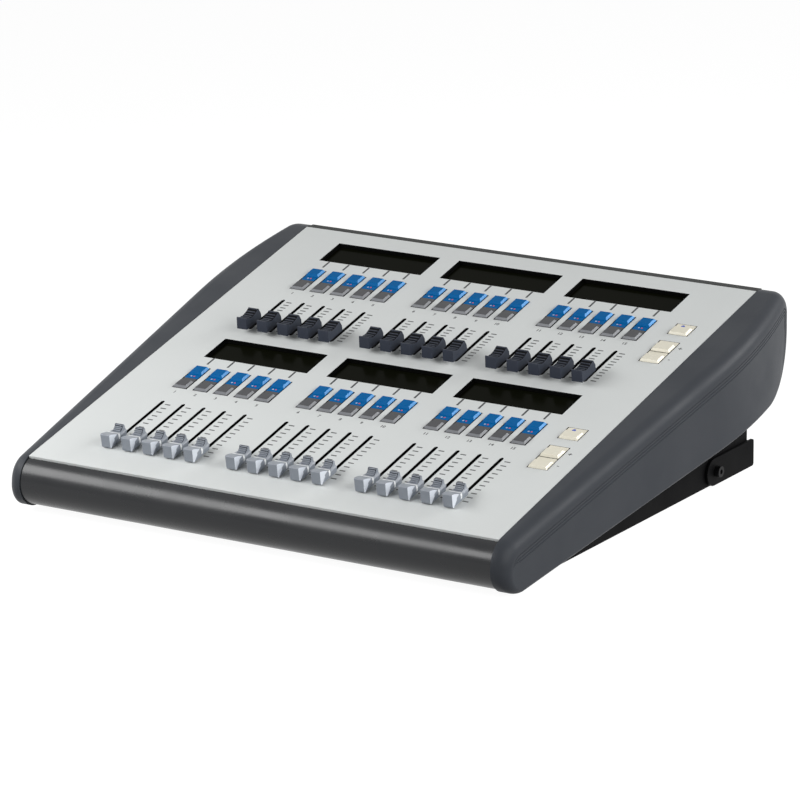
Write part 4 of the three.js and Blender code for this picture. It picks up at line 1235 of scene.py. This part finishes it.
# %% Printed marks
ink_proud = 0.04 * MM
ink_sunk = 0.05 * MM
tick_count = 11
tick_length = 4.9 * MM
tick_width = 1.25 * MM
tick_offset = 6.65 * MM
number_height = 3.1 * MM
sign_height = 4.6 * MM
lead_width = 1.7 * MM
lead_gap = 0.3 * MM
lead_length = 10 * MM
print_weight = 0.09 * MM
slot_half = 1.2 * MM
seal_width = 0.3 * MM
number_gap = 6.5 * MM
sign_gap = 5 * MM
capital_share = 0.7
tick_ranges = {"lower": (40.8 * MM, 101.9 * MM), "upper": (232.4 * MM, 277.5 * MM)}
slot_ranges = {"lower": (35.8 * MM, 106.8 * MM), "upper": (229.1 * MM, 281.1 * MM)}
print("printed scales in mm:", [round((last - first) / MM, 1) for first, last in tick_ranges.values()])


# %% Ink and characters
def add_ink(shape, xs, ys, finish):
    """A printed bar on the panel."""
    add_block(shape, xs, ys, (-ink_sunk, ink_proud), finish)


def add_words(shape, words, centre_x, centre_y, height, finish):
    """Printed characters, centred on a point of the panel."""
    text = bpy.data.curves.new("print", "FONT")
    text.body = words
    text.size = height / capital_share
    text.extrude = (ink_proud + ink_sunk) / 2
    text.align_x = "CENTER"
    text.offset = print_weight
    text.resolution_u = 3
    holder = new_object("print", text)
    bpy.context.view_layer.update()
    flat = bpy.data.meshes.new_from_object(holder.evaluated_get(bpy.context.evaluated_depsgraph_get()))
    bpy.data.objects.remove(holder)
    bpy.data.curves.remove(text)
    flat.transform(Matrix.Translation((centre_x, centre_y - height / 2, (ink_proud - ink_sunk) / 2)))
    before = len(shape.faces)
    shape.from_mesh(flat)
    bpy.data.meshes.remove(flat)
    shape.faces.ensure_lookup_table()
    for face in shape.faces[before:]:
        face.material_index = finish
    bmesh.ops.remove_doubles(shape, verts=shape.verts[:], dist=1e-6)


print("ink stands proud by mm:", round(ink_proud / MM, 2))


# %% Make the prints
def make_prints():
    """Every printed mark of the panel as one thin piece."""
    shape = bmesh.new()
    for section, (first, last) in tick_ranges.items():
        slot_front, slot_rear = slot_ranges[section]
        key_front = place_on_panel(f"{section}_grey_keys")[0].y
        lead_end = place_on_panel(f"{section}_display_modules")[0].y + 2 * display_margin - lead_gap
        for channel, x in enumerate(channel_xs, 1):
            for tick in range(tick_count):
                y = first + (last - first) * tick / (tick_count - 1)
                add_ink(shape, around(x + tick_offset, tick_length / 2), around(y, tick_width / 2), 0)
            for low_x in (x - slot_half - seal_width, x + slot_half):
                seal_ys = (slot_front + slot_half, slot_rear - slot_half)
                add_ink(shape, (low_x, low_x + seal_width), seal_ys, 2)
            add_ink(shape, around(x, lead_width / 2), (lead_end - lead_length, lead_end), 1)
            add_words(shape, str(channel), x, key_front - number_gap, number_height, 1)
        for kind, sign in (("plus", "+"), ("minus", "-")):
            _, high, middle = place_on_panel(f"{section}_{kind}_key")
            add_words(shape, sign, high.x + sign_gap, middle.y, sign_height, 1)
    finishes = [grey_ink, dark_ink, black_trim_and_gap_shade]
    return make_piece("panel_prints", shape, finishes, "housing", (), plain_angle)


prints = make_prints()
print("printed faces:", len(prints.data.polygons))
